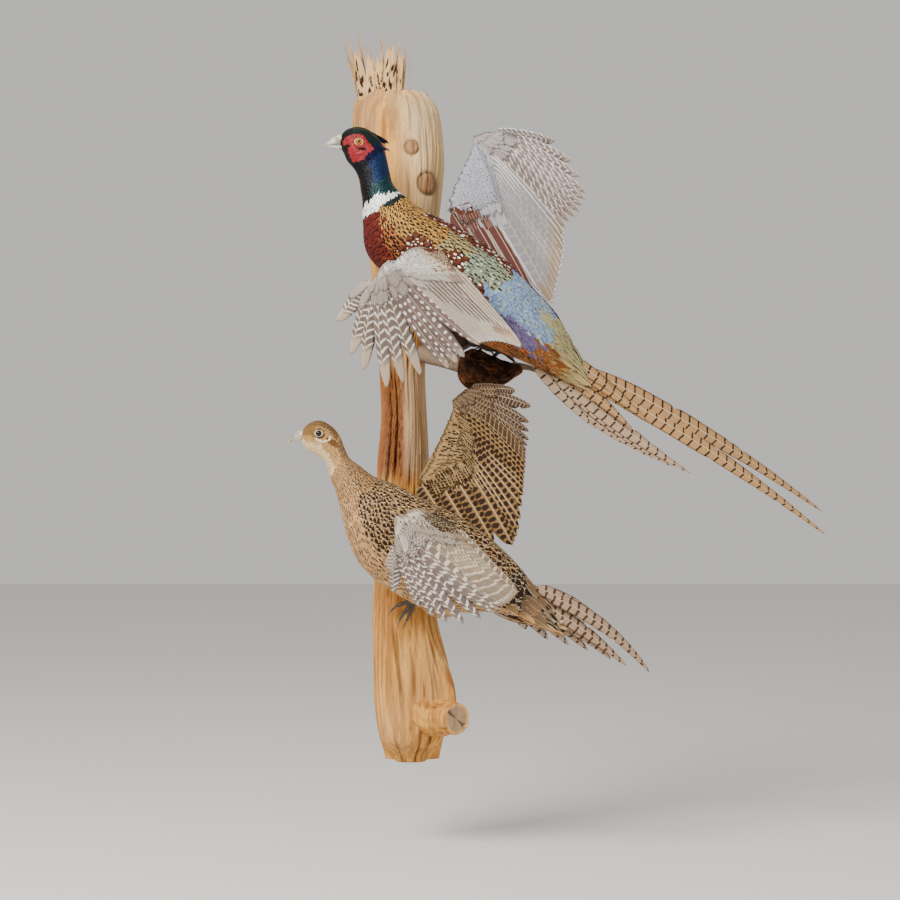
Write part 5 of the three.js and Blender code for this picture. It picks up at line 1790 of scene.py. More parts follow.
def fissures(around, z, seed, pitch, lengths, wander=0.006):
    """Cracks along the grain: 1 in their middles, 0 between them.

    They stand a pitch apart round the log (around is in metres), wander with height, and open and
    close over the given lengths.
    """
    drift = wander * wave_noise(pile(z), 0.35, seed, 2)
    place = (around + drift) / pitch
    nearest = np.round(place)
    away = np.abs(place - nearest)
    key = np.sin(nearest * 12.9898 + seed) * 43758.5453
    key = key - np.floor(key)
    open_ = np.sin(z / (lengths * (0.6 + key)) * 2 * math.pi + key * 40)
    width = 0.10 + 0.14 * key
    return np.exp(-(away / width) ** 2) * ramp(open_, 0.0 + 0.5 * key, 0.9)


def log_batch(depth, rows=360, columns=232):
    """The log: a half round against the wall, split along its grain, with knots.

    At each height the front is half an ellipse with squared shoulders and the back a flat.
    """
    table = np.array(LOG, float)[::-1]
    z = np.linspace(table[0, 0], table[-1, 0], rows)
    smooth = np.exp(-(np.arange(-14, 15) / 6.0) ** 2)
    smooth = smooth / smooth.sum()
    edges = [np.pad(np.interp(z, table[:, 0], table[:, k]), 14, mode="edge") for k in (1, 2, 3)]
    left, right, front = (np.convolve(v, smooth, mode="valid")[:, None] for v in edges)
    back = 24
    a = np.concatenate([np.linspace(0, math.pi, columns - back),
                        np.linspace(math.pi, 2 * math.pi, back + 2)[1:-1]])
    zz, aa = np.meshgrid(z, a, indexing="ij")
    c, s = np.cos(aa), np.clip(np.sin(aa), 0, 1)
    behind = aa > math.pi + 1e-6
    share = np.where(behind, 2 * (aa / math.pi - 1) - 1, 0)
    half = (right - left) / 2
    x = (right + left) / 2 + half * np.where(behind, share, np.sign(c) * np.abs(c) ** 0.7)
    y = np.where(behind, 0.0, -front * s ** 0.55)
    flare = np.exp(-((zz + 752) / np.where(zz > -752, 62, 24)) ** 2)
    flare = flare * np.exp(-((aa - 0.55) / 0.5) ** 2) * (1 - behind)
    x, y = x + 18 * flare, y - 22 * flare
    x, y, zz = x * MM, y * MM, zz * MM
    outward = unit(pile(np.where(behind, 0, c), np.where(behind, 0, -s - 0.02)))
    face = np.where(behind, 0, ramp(np.sin(np.minimum(aa, math.pi)), 0.02, 0.2))
    around = aa * 0.06
    round_ = pile(x, y, zz * 0.16)
    coarse = wave_noise(round_, 0.05, 21, 3)
    ridges = 1 - np.abs(wave_noise(pile(around * 3.2, zz * 0.35), 0.06, 4, 4))
    fine = wave_noise(pile(around * 9, zz * 0.5), 0.05, 8, 3)
    middle = ramp(zz, -0.46, -0.42) * ramp(-zz, 0.27, 0.31)
    upper = ramp(zz, -0.2, -0.05)
    lower = ramp(-zz, 0.44, 0.5)
    calm = (1 - 0.62 * upper) * (1 - 0.6 * middle * ramp(x, 0.0, 0.012)) * (1 - 0.3 * lower)
    calm = calm * (1 - 0.85 * flare)
    cracks = np.maximum(fissures(around, zz, 3, 0.021, 0.36), 0.8 * fissures(
        around + 0.004, zz, 11, 0.012, 0.22)) * calm * 0.8
    press = -0.004 * (0.5 - 0.5 * coarse) - 0.0013 * ridges ** 6 * calm - 0.0005 * fine
    press = press - depth * cracks * 1.6
    red = middle * ramp(-x, -0.011, -0.004)
    shards = np.abs(wave_noise(pile(around * 5, zz * 1.1), 0.04, 31, 4))
    press = press - red * 0.0045 * (1 - shards)
    knots, rims = np.zeros_like(x), np.zeros_like(x)
    for kx, kz, kr in ((18, 8, 9.5), (41, -41, 13.6), (-12, -520, 8)):
        gap = np.hypot(x - kx * MM, (zz - kz * MM) * 0.9) / (kr * MM)
        near = face * (y < -0.01)
        press = press + near * (0.0020 * ramp(-gap, -1.0, -0.8)
                                - 0.0030 * np.exp(-((gap - 1.02) / 0.13) ** 2)
                                + 0.0004 * np.sin(gap * 16) * ramp(-gap, -0.95, -0.8))
        knots = np.maximum(knots, near * ramp(-gap, -1.0, -0.85))
        rims = np.maximum(rims, near * np.exp(-((gap - 1.0) / 0.12) ** 2))
    x = x + outward[..., 0] * press * face
    y = np.minimum(y + outward[..., 1] * press * face, 0)
    top = ramp(zz, 0.078, 0.092)
    ragged = wave_noise(pile(x, y), 0.013, 40, 3)
    zz = zz + top * (0.003 * ragged - 0.003)
    low = ramp(-zz, 0.80, 0.834)
    x = x + (0.012 - x) * low * 0.35 * face
    y = y * (1 - 0.25 * low)
    # crack is painted shade: near-black where the fissures, ridge grooves, knot rims and the
    # broken-away hollow are pressed in.
    crack = np.clip(cracks * 1.1 + red * (1 - shards) ** 3 * 0.5 + rims * 0.7, 0, 1) * face
    crack = np.maximum(crack, 0.5 * ramp(ridges, 0.95, 1.0) * face * calm)
    crack = np.maximum(crack, 0.5 * knots * ramp(fine, 0.1, 0.6))
    pale = upper * (0.12 + 0.73 * ramp(x, -0.03, 0.035)) + 0.35 * middle * ramp(x, 0.004, 0.014)
    pale = np.clip(pale + 0.25 * coarse, 0, 1)
    streaks = 0.35 + 0.5 * coarse + 0.6 * fine
    stain = np.clip(red * 1.1 + upper * 0.9 * ramp(-x, -0.02, 0.04) * streaks, 0, 1)
    grey = upper * 0.5 * ramp(x, 0.015, 0.04) * ramp(fine, -0.1, 0.6)
    weathered = 0.3 * (1 - 0.8 * lower) * ramp(wave_noise(round_, 0.09, 77, 2), 0.3, 0.9)
    grey = np.clip(grey + weathered + 0.5 * middle * ramp(x, 0.0, 0.012), 0, 1) * (1 - flare)
    stain = np.maximum(stain * (1 - upper * 0.4), 0.55 * knots) + 0.3 * flare
    wear_and_crack_shade = wood_wear_and_shade(crack, pale * (1 - knots), stain, np.maximum(grey, 0.45 * knots))
    return closed_tube(pile(x, y, zz), {"wear_and_crack_shade": wear_and_crack_shade})


def wood_rod(points, radii, seed, pale=0.4, stain=0.1, grey=0.2, rows=40, columns=24, flat=1.0,
             groove=0.12, capped=False):
    """A branch stub or a splinter of the log's wood, grooved along its length.

    capped closes its far end as a sawn face with cracks that run from the pith.
    """
    surface = rod_surface(points, radii, flat)
    u, v = rows_and_turns(0, len(points) - 1, rows, columns)
    rings = surface(u, v)
    centre = rings.mean(1, keepdims=True)
    turn = pile(np.cos(v), np.sin(v), u * 0.25)
    grooves = wave_noise(turn, 1.1, seed, 4)
    rings = centre + (rings - centre) * (1 - groove * (0.5 - 0.5 * grooves))[..., None]
    # crack darkens the grooves where the noise presses the rod in: painted shade.
    crack = ramp(-grooves, 0.25, 0.8)
    wear_and_crack_shade = wood_wear_and_shade(crack * 0.7, pale, stain, grey)
    if capped:
        end = rings[-1]
        middle = end.mean(0)
        axis = unit(middle - rings[-3].mean(0))
        turn = np.linspace(0, 2 * math.pi, columns, endpoint=False)
        split = np.exp(-(np.sin(turn - 0.9) / 0.17) ** 2)
        split = np.maximum(split, 0.25 * np.exp(-(np.sin(turn * 1.5 + 0.7) / 0.1) ** 2))
        caps, shades = [], []
        for share in (0.97, 0.88, 0.74, 0.58, 0.42, 0.27, 0.13, 0.04):
            sunk = (0.0035 * split * share ** 0.5 * (share < 0.9) + 0.002 * (1 - share))[:, None]
            caps.append(middle + (end - middle) * share - axis * sunk)
            rim = 1.0 if share > 0.85 else 0.0
            # The sunk splits of the sawn face are drawn dark as painted shade.
            shades.append(wood_wear_and_shade(split * 0.7 * (1 - rim), 0.3 * rim, 0.15 * (1 - rim),
                                    0.75 * (1 - rim)))
        rings = np.concatenate([rings, np.array(caps)])
        wear_and_crack_shade = np.concatenate([wear_and_crack_shade, np.array(shades)])
    return closed_tube(rings, {"wear_and_crack_shade": wear_and_crack_shade})


def wormed_strip(foot, tip, wide, seed):
    """A flat strip of the broken top: its end frays to points and worm holes pit its middle.

    u runs up the strip and v round its flat section. The fraying is a saw of sines across it.
    """
    rng = np.random.default_rng(seed)
    foot, tip = np.array(foot, float), np.array(tip, float)
    bend = foot + (tip - foot) * 0.5 + rng.normal(0, 0.8, 3)
    u, v = rows_and_turns(0, 2, 84, 34)
    across = np.cos(v)
    teeth = 0.5 + 0.5 * np.sin(across * rng.uniform(4, 7) + rng.uniform(0, 6))
    teeth = 0.74 + 0.26 * teeth * (0.6 + 0.4 * np.sin(across * 13 + seed))
    path = row_at(np.array([foot, bend, tip]), u * teeth)
    width = wide * (1.12 - 0.12 * u) * (1 - 0.3 * ramp(u, 1.3, 2.0))
    thick = np.minimum(wide * 0.42, 2.6) * (1.1 - 0.4 * u * teeth)
    pits = np.zeros_like(u)
    for _ in range(13):
        hole = ((across - rng.uniform(-0.85, 0.85)) / rng.uniform(0.14, 0.34)) ** 2
        hole = hole + ((u - rng.uniform(0.2, 1.5)) / rng.uniform(0.06, 0.20)) ** 2
        pits = np.maximum(pits, ramp(-hole, -1.0, -0.45))
    fold = wave_noise(pile(across * 2.5, u * 0.3), 0.8, seed, 3)
    x = path[..., 0] + across * width
    y = path[..., 1] - np.sin(v) * np.maximum(thick * (1 + 0.3 * fold) * (1 - 0.75 * pits), 0.35)
    # The worm holes are drawn dark as painted shade in them, and the strip is darker where its
    # folds run high.
    wear_and_crack_shade = wood_wear_and_shade(np.clip(pits * 1.2 + 0.5 * ramp(fold, 0.4, 0.8), 0, 1), 0.75 + 0.2 * fold,
                     0.15, 0.05)
    return closed_tube(pile(x, y, path[..., 2]) * MM, {"wear_and_crack_shade": wear_and_crack_shade})


def splinter_batches(slivers, seed):
    """The broken top: strips wormed through, long flat splinters and thin slivers between them."""
    rng = np.random.default_rng(seed)
    made = [wormed_strip(*strip, seed + 20 + k) for k, strip in enumerate(STRIPS)]
    for k, (foot, tip, wide) in enumerate(SPLINTERS):
        foot, tip = np.array(foot, float), np.array(tip, float)
        bend = foot + (tip - foot) * 0.45 + rng.normal(0, 0.8, 3)
        made.append(wood_rod([foot, bend, tip], [wide * 0.36, wide * 0.30, 0.5], seed + k,
                             0.35 + 0.3 * rng.uniform(), 0.25, 0.1, 60, 22, 0.75, 0.35))
    for k in range(slivers):
        base = SPLINTERS[rng.integers(len(SPLINTERS) - 1)]
        foot = np.array(base[0], float) + rng.normal(0, [3.5, 3, 2])
        tip = np.array(base[1], float)
        high = rng.uniform(0.5, 0.97)
        tip = foot + (tip - foot) * high + rng.normal(0, [1.5, 2, 1.5])
        bend = (foot + tip) / 2 + rng.normal(0, 0.9, 3)
        wide = rng.uniform(0.7, 1.8)
        made.append(wood_rod([foot, bend, tip], [wide, wide * 0.8, 0.3], seed + 50 + k,
                             rng.uniform(0.1, 0.7), rng.uniform(0, 0.4), 0.1, 26, 12, 0.6, 0.4))
    return made


def burl_batches(seed=5):
    """The dark burl the cock stands on, with its grey branch and a broken twig."""
    u, v = rows_and_turns(0, 8, 130, 120)
    x, top, bottom, deep = np.moveaxis(row_at(BURL, u), -1, 0)
    half, middle = (top - bottom) / 2, (top + bottom) / 2
    round_ = pile(x / 40, np.sin(v), np.cos(v))
    lumps = wave_noise(round_, 0.8, seed, 4)
    pits = ramp(np.abs(wave_noise(round_, 0.45, seed + 4, 3)), 0.35, 0.0)
    knob = 0.97 + 0.13 * lumps - 0.13 * pits
    y = -70 - np.sin(v) * deep * knob
    z = middle + np.cos(v) * half * knob
    ragged = ramp(-np.cos(v), 0.5, 0.95) * ramp(lumps, -0.2, 0.5)
    wear_and_crack_shade = wood_wear_and_shade(ragged, 0.0, 0.0, 1.0)
    made = [closed_tube(pile(x, y, z) * MM, {"wear_and_crack_shade": wear_and_crack_shade})]
    for points, radii, grey in (BRANCH, TWIG):
        part = wood_rod(points, radii, seed + 9, rows=50, columns=36, groove=0.1)
        part["colours"]["wear_and_crack_shade"] = part["colours"]["wear_and_crack_shade"] * 0 + [0.1, grey, 0, 1]
        made.append(part)
    return made


# ------------------------------------------------------------------------------ stage
def add_light(name, place, aim, size, power, colour):
    """A square area light that looks at a point."""
    lamp = bpy.data.lights.new(name, "AREA")
    lamp.shape = "SQUARE"
    lamp.size = size
    lamp.energy = power
    lamp.color = colour
    light = bpy.data.objects.new(name, lamp)
    light.location = place
    light.rotation_euler = (Vector(aim) - Vector(place)).to_track_quat("-Z", "Y").to_euler()
    bpy.context.collection.objects.link(light)
    return light


# ------------------------------------------------------------------------------ settings
def metres(name, description, default):
    """A length property in metres."""
    return bpy.props.FloatProperty(name=name, description=description, default=default, min=0.0,
                                   soft_max=1.0, precision=4, unit="LENGTH")


def factor(name, description, default, high=1.0):
    """A plain number from 0 up."""
    return bpy.props.FloatProperty(name=name, description=description, default=default, min=0.0,
                                   max=high, subtype="FACTOR")


def tint(name, description, code):
    """A colour property, written as #rrggbb."""
    return bpy.props.FloatVectorProperty(name=name, description=description, size=3, min=0.0,
                                         max=1.0, default=tuple(shade(code)), subtype="COLOR")


class PheasantSizes(bpy.types.PropertyGroup):
    """Sizes the pieces are made to."""

    eye_radius: metres("Eye radius", "Radius of the cock's glass eyes", 0.0056)
    iris_radius: metres("Iris radius", "Outer radius of the cock's iris", 0.0043)
    pupil_radius: metres("Pupil radius", "Radius of the cock's pupil", 0.0018)
    hen_eye_radius: metres("Hen's eye radius", "Radius of the hen's glass eyes", 0.0050)
    lid_radius: metres("Lid radius", "Radius of the opening between the lids", 0.0050)
    lid_thickness: metres("Lid thickness", "Half thickness of the rolled lid", 0.0009)
    spacing: factor("Feather spacing", "Share of a feather's length between two rows", 0.33)
    slimness: factor("Feather slimness", "Width of a body feather over its length", 0.82)
    primary_half: metres("Cock's quill half width", "Half width of the cock's primaries", 0.0125)
    hen_half: metres("Hen's quill half width", "Half width of the hen's primaries", 0.0105)
    bar_pitch: metres("Tail bar pitch", "Distance between bars on the cock's tail", 0.0142)
    crack_depth: metres("Crack depth", "Depth of the cracks in the log", 0.0042)
    slivers: bpy.props.IntProperty(name="Slivers", description="Thin splinters on the log's top",
                                   default=34, min=0, max=200)
    seed: bpy.props.IntProperty(name="Seed", description="Start of the feathers' random places",
                                default=11, min=0)


class PheasantColours(bpy.types.PropertyGroup):
    """Colours of the bare parts and the stage."""

    wattle: tint("Bare face", "Crimson of the cock's bare face", "#960c17")
    # The face creases' dark red is painted shade between the papillae.
    crease_shade: tint("Face creases", "Dark red between the papillae", "#4a0a10")
    iris: tint("Iris", "Gold of the cock's iris", "#c9781c")
    hen_iris: tint("Hen's iris", "Brown of the hen's iris", "#38190a")
    bill: tint("Bill", "Pale horn of the bills", "#cbc5b6")
    bill_shadow: tint("Bill shadow", "Dark horn at the bills' root", "#857b6b")
    lid: tint("Eyelid", "Skin of the rolled lids", "#e9c48a")
    cock_tail: tint("Cock's tail", "Ground of the cock's tail", "#aa8255")
    hen_tail: tint("Hen's tail", "Ground of the hen's tail", "#a3866c")
    floor: tint("Floor", "Floor of the stage", "#e6e3de")
    air: tint("Backdrop", "Light from all round", "#e9e7e3")


class PheasantStage(bpy.types.PropertyGroup):
    """The stage's camera and lights."""

    camera: bpy.props.FloatVectorProperty(
        name="Camera", description="Where the camera stands", size=3,
        default=(0.070, -3.100, -0.405), subtype="TRANSLATION", unit="LENGTH")
    lens: bpy.props.FloatProperty(name="Lens", description="Focal length in millimetres",
                                  default=88.9, min=10.0)
    key: bpy.props.FloatProperty(name="Key light", description="Power of the large soft light",
                                 default=135.0, min=0.0, unit="POWER")
    fill: bpy.props.FloatProperty(name="Fill light", description="Power of the light opposite",
                                  default=26.0, min=0.0, unit="POWER")
    air: factor("Light from all round", "Strength of the backdrop's light", 0.76, 5.0)
    drop: metres("Floor drop", "How far the floor lies under the log", 0.12)


# ------------------------------------------------------------------------------ operators
def settings(context):
    """The scene's sizes and colours for the pieces."""
    return context.scene.pheasant_sizes, context.scene.pheasant_colours


class MESH_OT_cock_body(bpy.types.Operator):
    """Builds the cock's skin and the feathers of its head, neck, trunk and rump"""

    bl_idname = "mesh.pheasant_cock_body"
    bl_label = "Cock's Body"
    bl_options = {"REGISTER", "UNDO"}

    def execute(self, context):
        sizes, _ = settings(context)
        satin = plumage_finish("cock head gloss", Roughness=0.38, Metallic=0.45,
                               Specular_IOR_Level=0.35)
        soft = plumage_finish("cock body plumage", Roughness=0.6)
        fine = plumage_finish("cock face plumage", Roughness=0.45, Metallic=0.3,
                              Specular_IOR_Level=0.35)
        spacing, slim = sizes.spacing, sizes.slimness
        rump = tail_coverts(COCK_BODY, COCK_TAIL, cock_coat, 150, 0.026, 0.0022, 16.6, 18.2,
                            sizes.seed)
        body_pieces("cock", COCK_BODY, cock_coat, [(eye, 8, 4.5) for eye in COCK_EYES], (
            ("face", 0.35, 3.4, TINY, fine, "head_plumage", spacing * 1.25, 0.62, off_face, []),
            ("head", 3.3, 6.4, TINY, satin, "head_plumage", spacing * 1.1, 0.6, off_face,
             ear_tufts(sizes.seed)),
            ("neck", 6.3, 9.55, HACKLE, satin, "head_plumage", spacing * 0.78, 0.5, None, []),
            ("mantle", 9.2, 13.0, BROAD, soft, "body_plumage", spacing * 0.9, slim, None, []),
            ("back", 12.9, 14.5, BROAD, soft, "body_plumage", spacing * 0.9, slim, None, []),
            ("rump", 14.2, 17.9, HACKLE, soft, "body_plumage", spacing * 0.52, 0.27, None, rump),
        ), ["cock_head", "cock_neck", "cock_trunk"], sizes.seed)
        return {"FINISHED"}


class MESH_OT_cock_face(bpy.types.Operator):
    """Builds the cock's bare face, eyelids, glass eyes and bill"""

    bl_idname = "mesh.pheasant_cock_face"
    bl_label = "Cock's Face"
    bl_options = {"REGISTER", "UNDO"}

    def execute(self, context):
        sizes, colours = settings(context)
        surface = body_surface(COCK_BODY, COAT_DEPTH)
        faces = [bare_face(surface, eye, 3 + k) for k, eye in enumerate(COCK_EYES)]
        finish = wattle_finish(colours.wattle, colours.crease_shade)
        make_piece("cock_wattles", side_by_side(faces), finish, "head_plumage", ["cock_head"])
        radius = sizes.eye_radius / MM
        lids = [eyelid(eye, sizes.lid_radius / MM, sizes.lid_thickness / MM, radius)
                for eye in COCK_EYES]
        finish = plain_skin("lid skin", colours.lid)
        make_piece("cock_eyelids", side_by_side(lids), finish, "head_plumage", ["cock_head"])
        for eye, side in zip(COCK_EYES, ("left", "right")):
            finish = eye_finish("cock eye " + side, eye, sizes.pupil_radius, sizes.iris_radius,
                                "#5a2508", colours.iris)
            make_piece("cock_eyeball_" + side, [eyeball(eye, radius)], finish, "eye_glass",
                       ["cock_eye_" + side])
        horn = horn_finish("cock bill horn", colours.bill, colours.bill_shadow, rough=0.34)
        upper = bill_half([-74, -155.5, 6], 22, 6.5, 5.6, 7)
        lower = bill_half([-72, -155.5, -3.5], 20, 4.2, 5.0, -1, upper=False)
        make_piece("cock_upper_bill", [upper], horn, "bill_horn", ["cock_bill_upper"])
        make_piece("cock_lower_bill", [lower], horn, "bill_horn", ["cock_bill_lower"])
        return {"FINISHED"}


class MESH_OT_cock_wings(bpy.types.Operator):
    """Builds the cock's two spread wings: arms, quills and coverts"""

    bl_idname = "mesh.pheasant_cock_wings"
    bl_label = "Cock's Wings"
    bl_options = {"REGISTER", "UNDO"}

    def execute(self, context):
        sizes, _ = settings(context)
        half = sizes.primary_half / MM
        wing_pieces(COCK_WING_LEFT, "cock near", "cock_near_wing", "wing_plumage", "cock_wing_left",
                    (half * 0.84, half * 0.60), "#b7ab9e", sizes.seed + 100)
        wing_pieces(COCK_WING_RIGHT, "cock far", "cock_far_wing", "wing_plumage", "cock_wing_right",
                    (half * 1.0, half * 1.05), "#a9a8ae", sizes.seed + 200)
        return {"FINISHED"}


class MESH_OT_cock_tail(bpy.types.Operator):
    """Builds the cock's long barred tail"""

    bl_idname = "mesh.pheasant_cock_tail"
    bl_label = "Cock's Tail"
    bl_options = {"REGISTER", "UNDO"}

    def execute(self, context):
        sizes, colours = settings(context)
        looks = tail_looks(colours.cock_tail, "#1c120d", sizes.bar_pitch, 0.24)
        made = tail_pieces(COCK_TAIL, "cock", looks, 0.72, sizes.seed)
        finish = vane_finish("cock tail vanes", 0.16, 0.10, Roughness=0.6)
        make_piece("cock_tail_vanes", made, finish, "tail_plumage", ["cock_tail"])
        return {"FINISHED"}


class MESH_OT_cock_legs(bpy.types.Operator):
    """Builds the cock's two legs with their thighs, scales and claws"""

    bl_idname = "mesh.pheasant_cock_legs"
    bl_label = "Cock's Legs"
    bl_options = {"REGISTER", "UNDO"}

    def execute(self, context):
        sizes, _ = settings(context)
        leg_pieces("cock_leg_left", "leg_scale", "#3b2418", sizes.seed + 300)
        leg_pieces("cock_leg_right", "leg_scale", "#3b2418", sizes.seed + 310)
        return {"FINISHED"}


class MESH_OT_hen_body(bpy.types.Operator):
    """Builds the hen's skin and the feathers of its head, neck and trunk"""

    bl_idname = "mesh.pheasant_hen_body"
    bl_label = "Hen's Body"
    bl_options = {"REGISTER", "UNDO"}

    def execute(self, context):
        sizes, _ = settings(context)
        soft = plumage_finish("hen plumage", Roughness=0.66)
        slot = "hen_plumage"
        seed, spacing, slim = sizes.seed + 40, sizes.spacing, sizes.slimness
        rump = tail_coverts(HEN_BODY, HEN_TAIL, hen_coat, 60, 0.042, 0.0052, 16.0, 17.9, seed)
        body_pieces("hen", HEN_BODY, hen_coat, [(eye, 7, 3.5) for eye in HEN_EYES], (
            ("face", 0.35, 3.6, TINY, soft, slot, spacing * 1.25, slim, off_eyes, []),
            ("head", 3.5, 6.8, TINY, soft, slot, spacing * 1.1, slim, off_eyes, []),
            ("neck", 6.7, 10.2, SMALL, soft, slot, spacing, slim, None, []),
            ("mantle", 10.1, 13.0, BROAD, soft, slot, spacing, slim, None, []),
            ("back", 12.9, 17.9, BROAD, soft, slot, spacing, slim, None, rump),
        ), ["hen"], seed)
        return {"FINISHED"}


class MESH_OT_hen_face(bpy.types.Operator):
    """Builds the hen's eyelids, glass eyes and bill"""

    bl_idname = "mesh.pheasant_hen_face"
    bl_label = "Hen's Face"
    bl_options = {"REGISTER", "UNDO"}

    def execute(self, context):
        sizes, colours = settings(context)
        radius = sizes.hen_eye_radius / MM
        for eye, side in zip(HEN_EYES, ("left", "right")):
            finish = eye_finish("hen eye " + side, eye, 0.0027, 0.0042, "#170b05",
                                colours.hen_iris)
            make_piece("hen_eyeball_" + side, [eyeball(eye, radius)], finish, "eye_glass", ["hen"])
        lids = [eyelid(eye, radius * 0.9, 0.8, radius) for eye in HEN_EYES]
        finish = plain_skin("hen lid skin", "#e8d6b4")
        make_piece("hen_eyelids", side_by_side(lids), finish, "hen_plumage", ["hen"])
        horn = horn_finish("hen bill horn", "#c9bba4", "#8b7c68")
        halves = [bill_half([-126, -150.5, -384], 20, 5.4, 4.8, 11, island=(0, 0, 0.5, 1)),
                  bill_half([-124, -150.5, -387.7], 17.5, 3.6, 4.2, 6.2, False, (0.5, 0, 0.5, 1))]
        make_piece("hen_bill", halves, horn, "hen_plumage", ["hen"])
        return {"FINISHED"}


class MESH_OT_hen_wings(bpy.types.Operator):
    """Builds the hen's two spread wings: arms, quills and coverts"""

    bl_idname = "mesh.pheasant_hen_wings"
    bl_label = "Hen's Wings"
    bl_options = {"REGISTER", "UNDO"}

    def execute(self, context):
        sizes, _ = settings(context)
        half = sizes.hen_half / MM
        wing_pieces(HEN_WING_LEFT, "hen near", "hen_near_wing", "hen_plumage", "hen",
                    (half * 0.86, half * 0.66), "#b49a7c", sizes.seed + 400)
        wing_pieces(HEN_WING_RIGHT, "hen far", "hen_far_wing", "hen_plumage", "hen",
                    (half, half * 1.3), "#a08254", sizes.seed + 500)
        return {"FINISHED"}


class MESH_OT_hen_tail(bpy.types.Operator):
    """Builds the hen's tail and leg"""

    bl_idname = "mesh.pheasant_hen_tail"
    bl_label = "Hen's Tail and Leg"
    bl_options = {"REGISTER", "UNDO"}

    def execute(self, context):
        sizes, colours = settings(context)
        looks = tail_looks(colours.hen_tail, "#3d2a1e", 0.0125, 0.34)
        made = tail_pieces(HEN_TAIL, "hen", looks, 0.62, sizes.seed + 60)
        finish = vane_finish("hen tail vanes", 0.35, 0.2, Roughness=0.65)
        make_piece("hen_tail_vanes", made, finish, "hen_plumage", ["hen"])
        leg_pieces("hen", "hen_plumage", "#b98f60", sizes.seed + 320)
        return {"FINISHED"}


class MESH_OT_driftwood(bpy.types.Operator):
    """Builds the driftwood log with its splintered top and its stubs"""

    bl_idname = "mesh.pheasant_driftwood"
    bl_label = "Driftwood Log"
    bl_options = {"REGISTER", "UNDO"}

    def execute(self, context):
        sizes, _ = settings(context)
        stub = wood_rod(*STUB, 2, 0.0, 0.2, 0.0, 80, 84, capped=True)
        batches = [log_batch(sizes.crack_depth), stub]
        batches.extend(splinter_batches(sizes.slivers, sizes.seed))
        make_piece("driftwood_grain", side_by_side(batches), wood_finish(), "driftwood",
                   ["driftwood_log"])
        return {"FINISHED"}


class MESH_OT_burl(bpy.types.Operator):
    """Builds the dark burl and the branch that carries it"""

    bl_idname = "mesh.pheasant_burl"
    bl_label = "Perch Burl"
    bl_options = {"REGISTER", "UNDO"}

    def execute(self, context):
        make_piece("perch_burl_bark", side_by_side(burl_batches()), bark_finish(), "burl_bark",
                   ["perch_burl"])
        return {"FINISHED"}


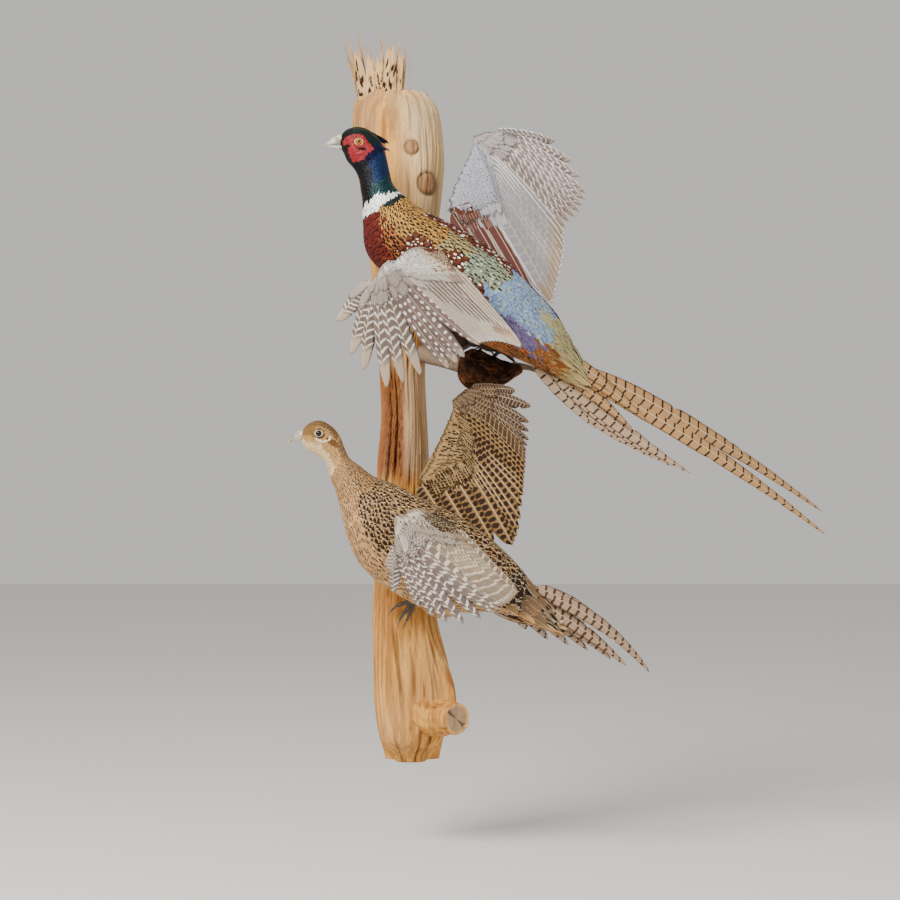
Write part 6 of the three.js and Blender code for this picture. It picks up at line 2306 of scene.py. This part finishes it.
class SCENE_OT_pheasant_stage(bpy.types.Operator):
    """Sets the camera, the soft lights and the pale floor"""

    bl_idname = "scene.pheasant_stage"
    bl_label = "Stage"
    bl_options = {"REGISTER", "UNDO"}

    def execute(self, context):
        setting = context.scene.pheasant_stage
        colours = context.scene.pheasant_colours
        eye = bpy.data.cameras.new("Camera")
        eye.lens = setting.lens
        eye.sensor_width = 36.0
        eye.clip_start = 0.05
        camera = bpy.data.objects.new("Camera", eye)
        camera.location = setting.camera
        camera.rotation_euler = (math.pi / 2, 0, 0)
        bpy.context.collection.objects.link(camera)
        bpy.context.scene.camera = camera
        key = add_light("Key", (-1.3, -2.0, 1.3), (0.1, -0.1, -0.3), 1.5, setting.key,
                        (1.0, 0.975, 0.94))
        fill = add_light("Fill", (1.7, -2.2, -0.1), (0.1, -0.1, -0.35), 1.8, setting.fill,
                         (0.93, 0.96, 1.0))
        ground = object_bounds()[0][2] - setting.drop
        mesh = bpy.data.meshes.new("Floor")
        mesh.from_pydata([(-6, -6, ground), (6, -6, ground), (6, 6, ground), (-6, 6, ground)], [],
                         [(0, 1, 2, 3)])
        floor = bpy.data.objects.new("Floor", mesh)
        bpy.context.collection.objects.link(floor)
        finish = Finish("floor paint", Roughness=0.9)
        mottle = finish.noise(finish.place(), 3.0, 2.0)
        darker = tuple(c * 0.96 for c in colours.floor)
        mesh.materials.append(finish.colour(finish.mix(mottle, colours.floor, darker)))
        world = bpy.data.worlds.new("Studio air")
        world.use_nodes = True
        sky = world.node_tree.nodes["Background"]
        sky.inputs["Color"].default_value = (*colours.air, 1)
        sky.inputs["Strength"].default_value = setting.air
        context.scene.world = world
        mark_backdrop(camera, key, fill, floor)
        return {"FINISHED"}


PIECES = (
    MESH_OT_cock_body, MESH_OT_cock_face, MESH_OT_cock_wings, MESH_OT_cock_tail, MESH_OT_cock_legs,
    MESH_OT_hen_body, MESH_OT_hen_face, MESH_OT_hen_wings, MESH_OT_hen_tail, MESH_OT_driftwood,
    MESH_OT_burl, SCENE_OT_pheasant_stage,
)


class VIEW3D_PT_pheasants(bpy.types.Panel):
    """Lists the operators in the order they are meant to run"""

    bl_label = "Pheasant Wall Mount"
    bl_idname = "VIEW3D_PT_pheasants"
    bl_space_type = "VIEW_3D"
    bl_region_type = "UI"
    bl_category = "Pheasants"

    def draw(self, context):
        for piece in PIECES:
            self.layout.operator(piece.bl_idname)


CLASSES = (PheasantSizes, PheasantColours, PheasantStage, *PIECES, VIEW3D_PT_pheasants)


def register():
    for cls in CLASSES:
        bpy.utils.register_class(cls)
    bpy.types.Scene.pheasant_sizes = bpy.props.PointerProperty(type=PheasantSizes)
    bpy.types.Scene.pheasant_colours = bpy.props.PointerProperty(type=PheasantColours)
    bpy.types.Scene.pheasant_stage = bpy.props.PointerProperty(type=PheasantStage)


def unregister():
    del bpy.types.Scene.pheasant_sizes
    del bpy.types.Scene.pheasant_colours
    del bpy.types.Scene.pheasant_stage
    for cls in reversed(CLASSES):
        bpy.utils.unregister_class(cls)


def main():
    """Builds every piece and the stage."""
    register()
    bpy.ops.mesh.pheasant_cock_body()
    bpy.ops.mesh.pheasant_cock_face()
    bpy.ops.mesh.pheasant_cock_wings()
    bpy.ops.mesh.pheasant_cock_tail()
    bpy.ops.mesh.pheasant_cock_legs()
    bpy.ops.mesh.pheasant_hen_body()
    bpy.ops.mesh.pheasant_hen_face()
    bpy.ops.mesh.pheasant_hen_wings()
    bpy.ops.mesh.pheasant_hen_tail()
    bpy.ops.mesh.pheasant_driftwood()
    bpy.ops.mesh.pheasant_burl()
    bpy.ops.scene.pheasant_stage()


if __name__ == "__main__":
    main()
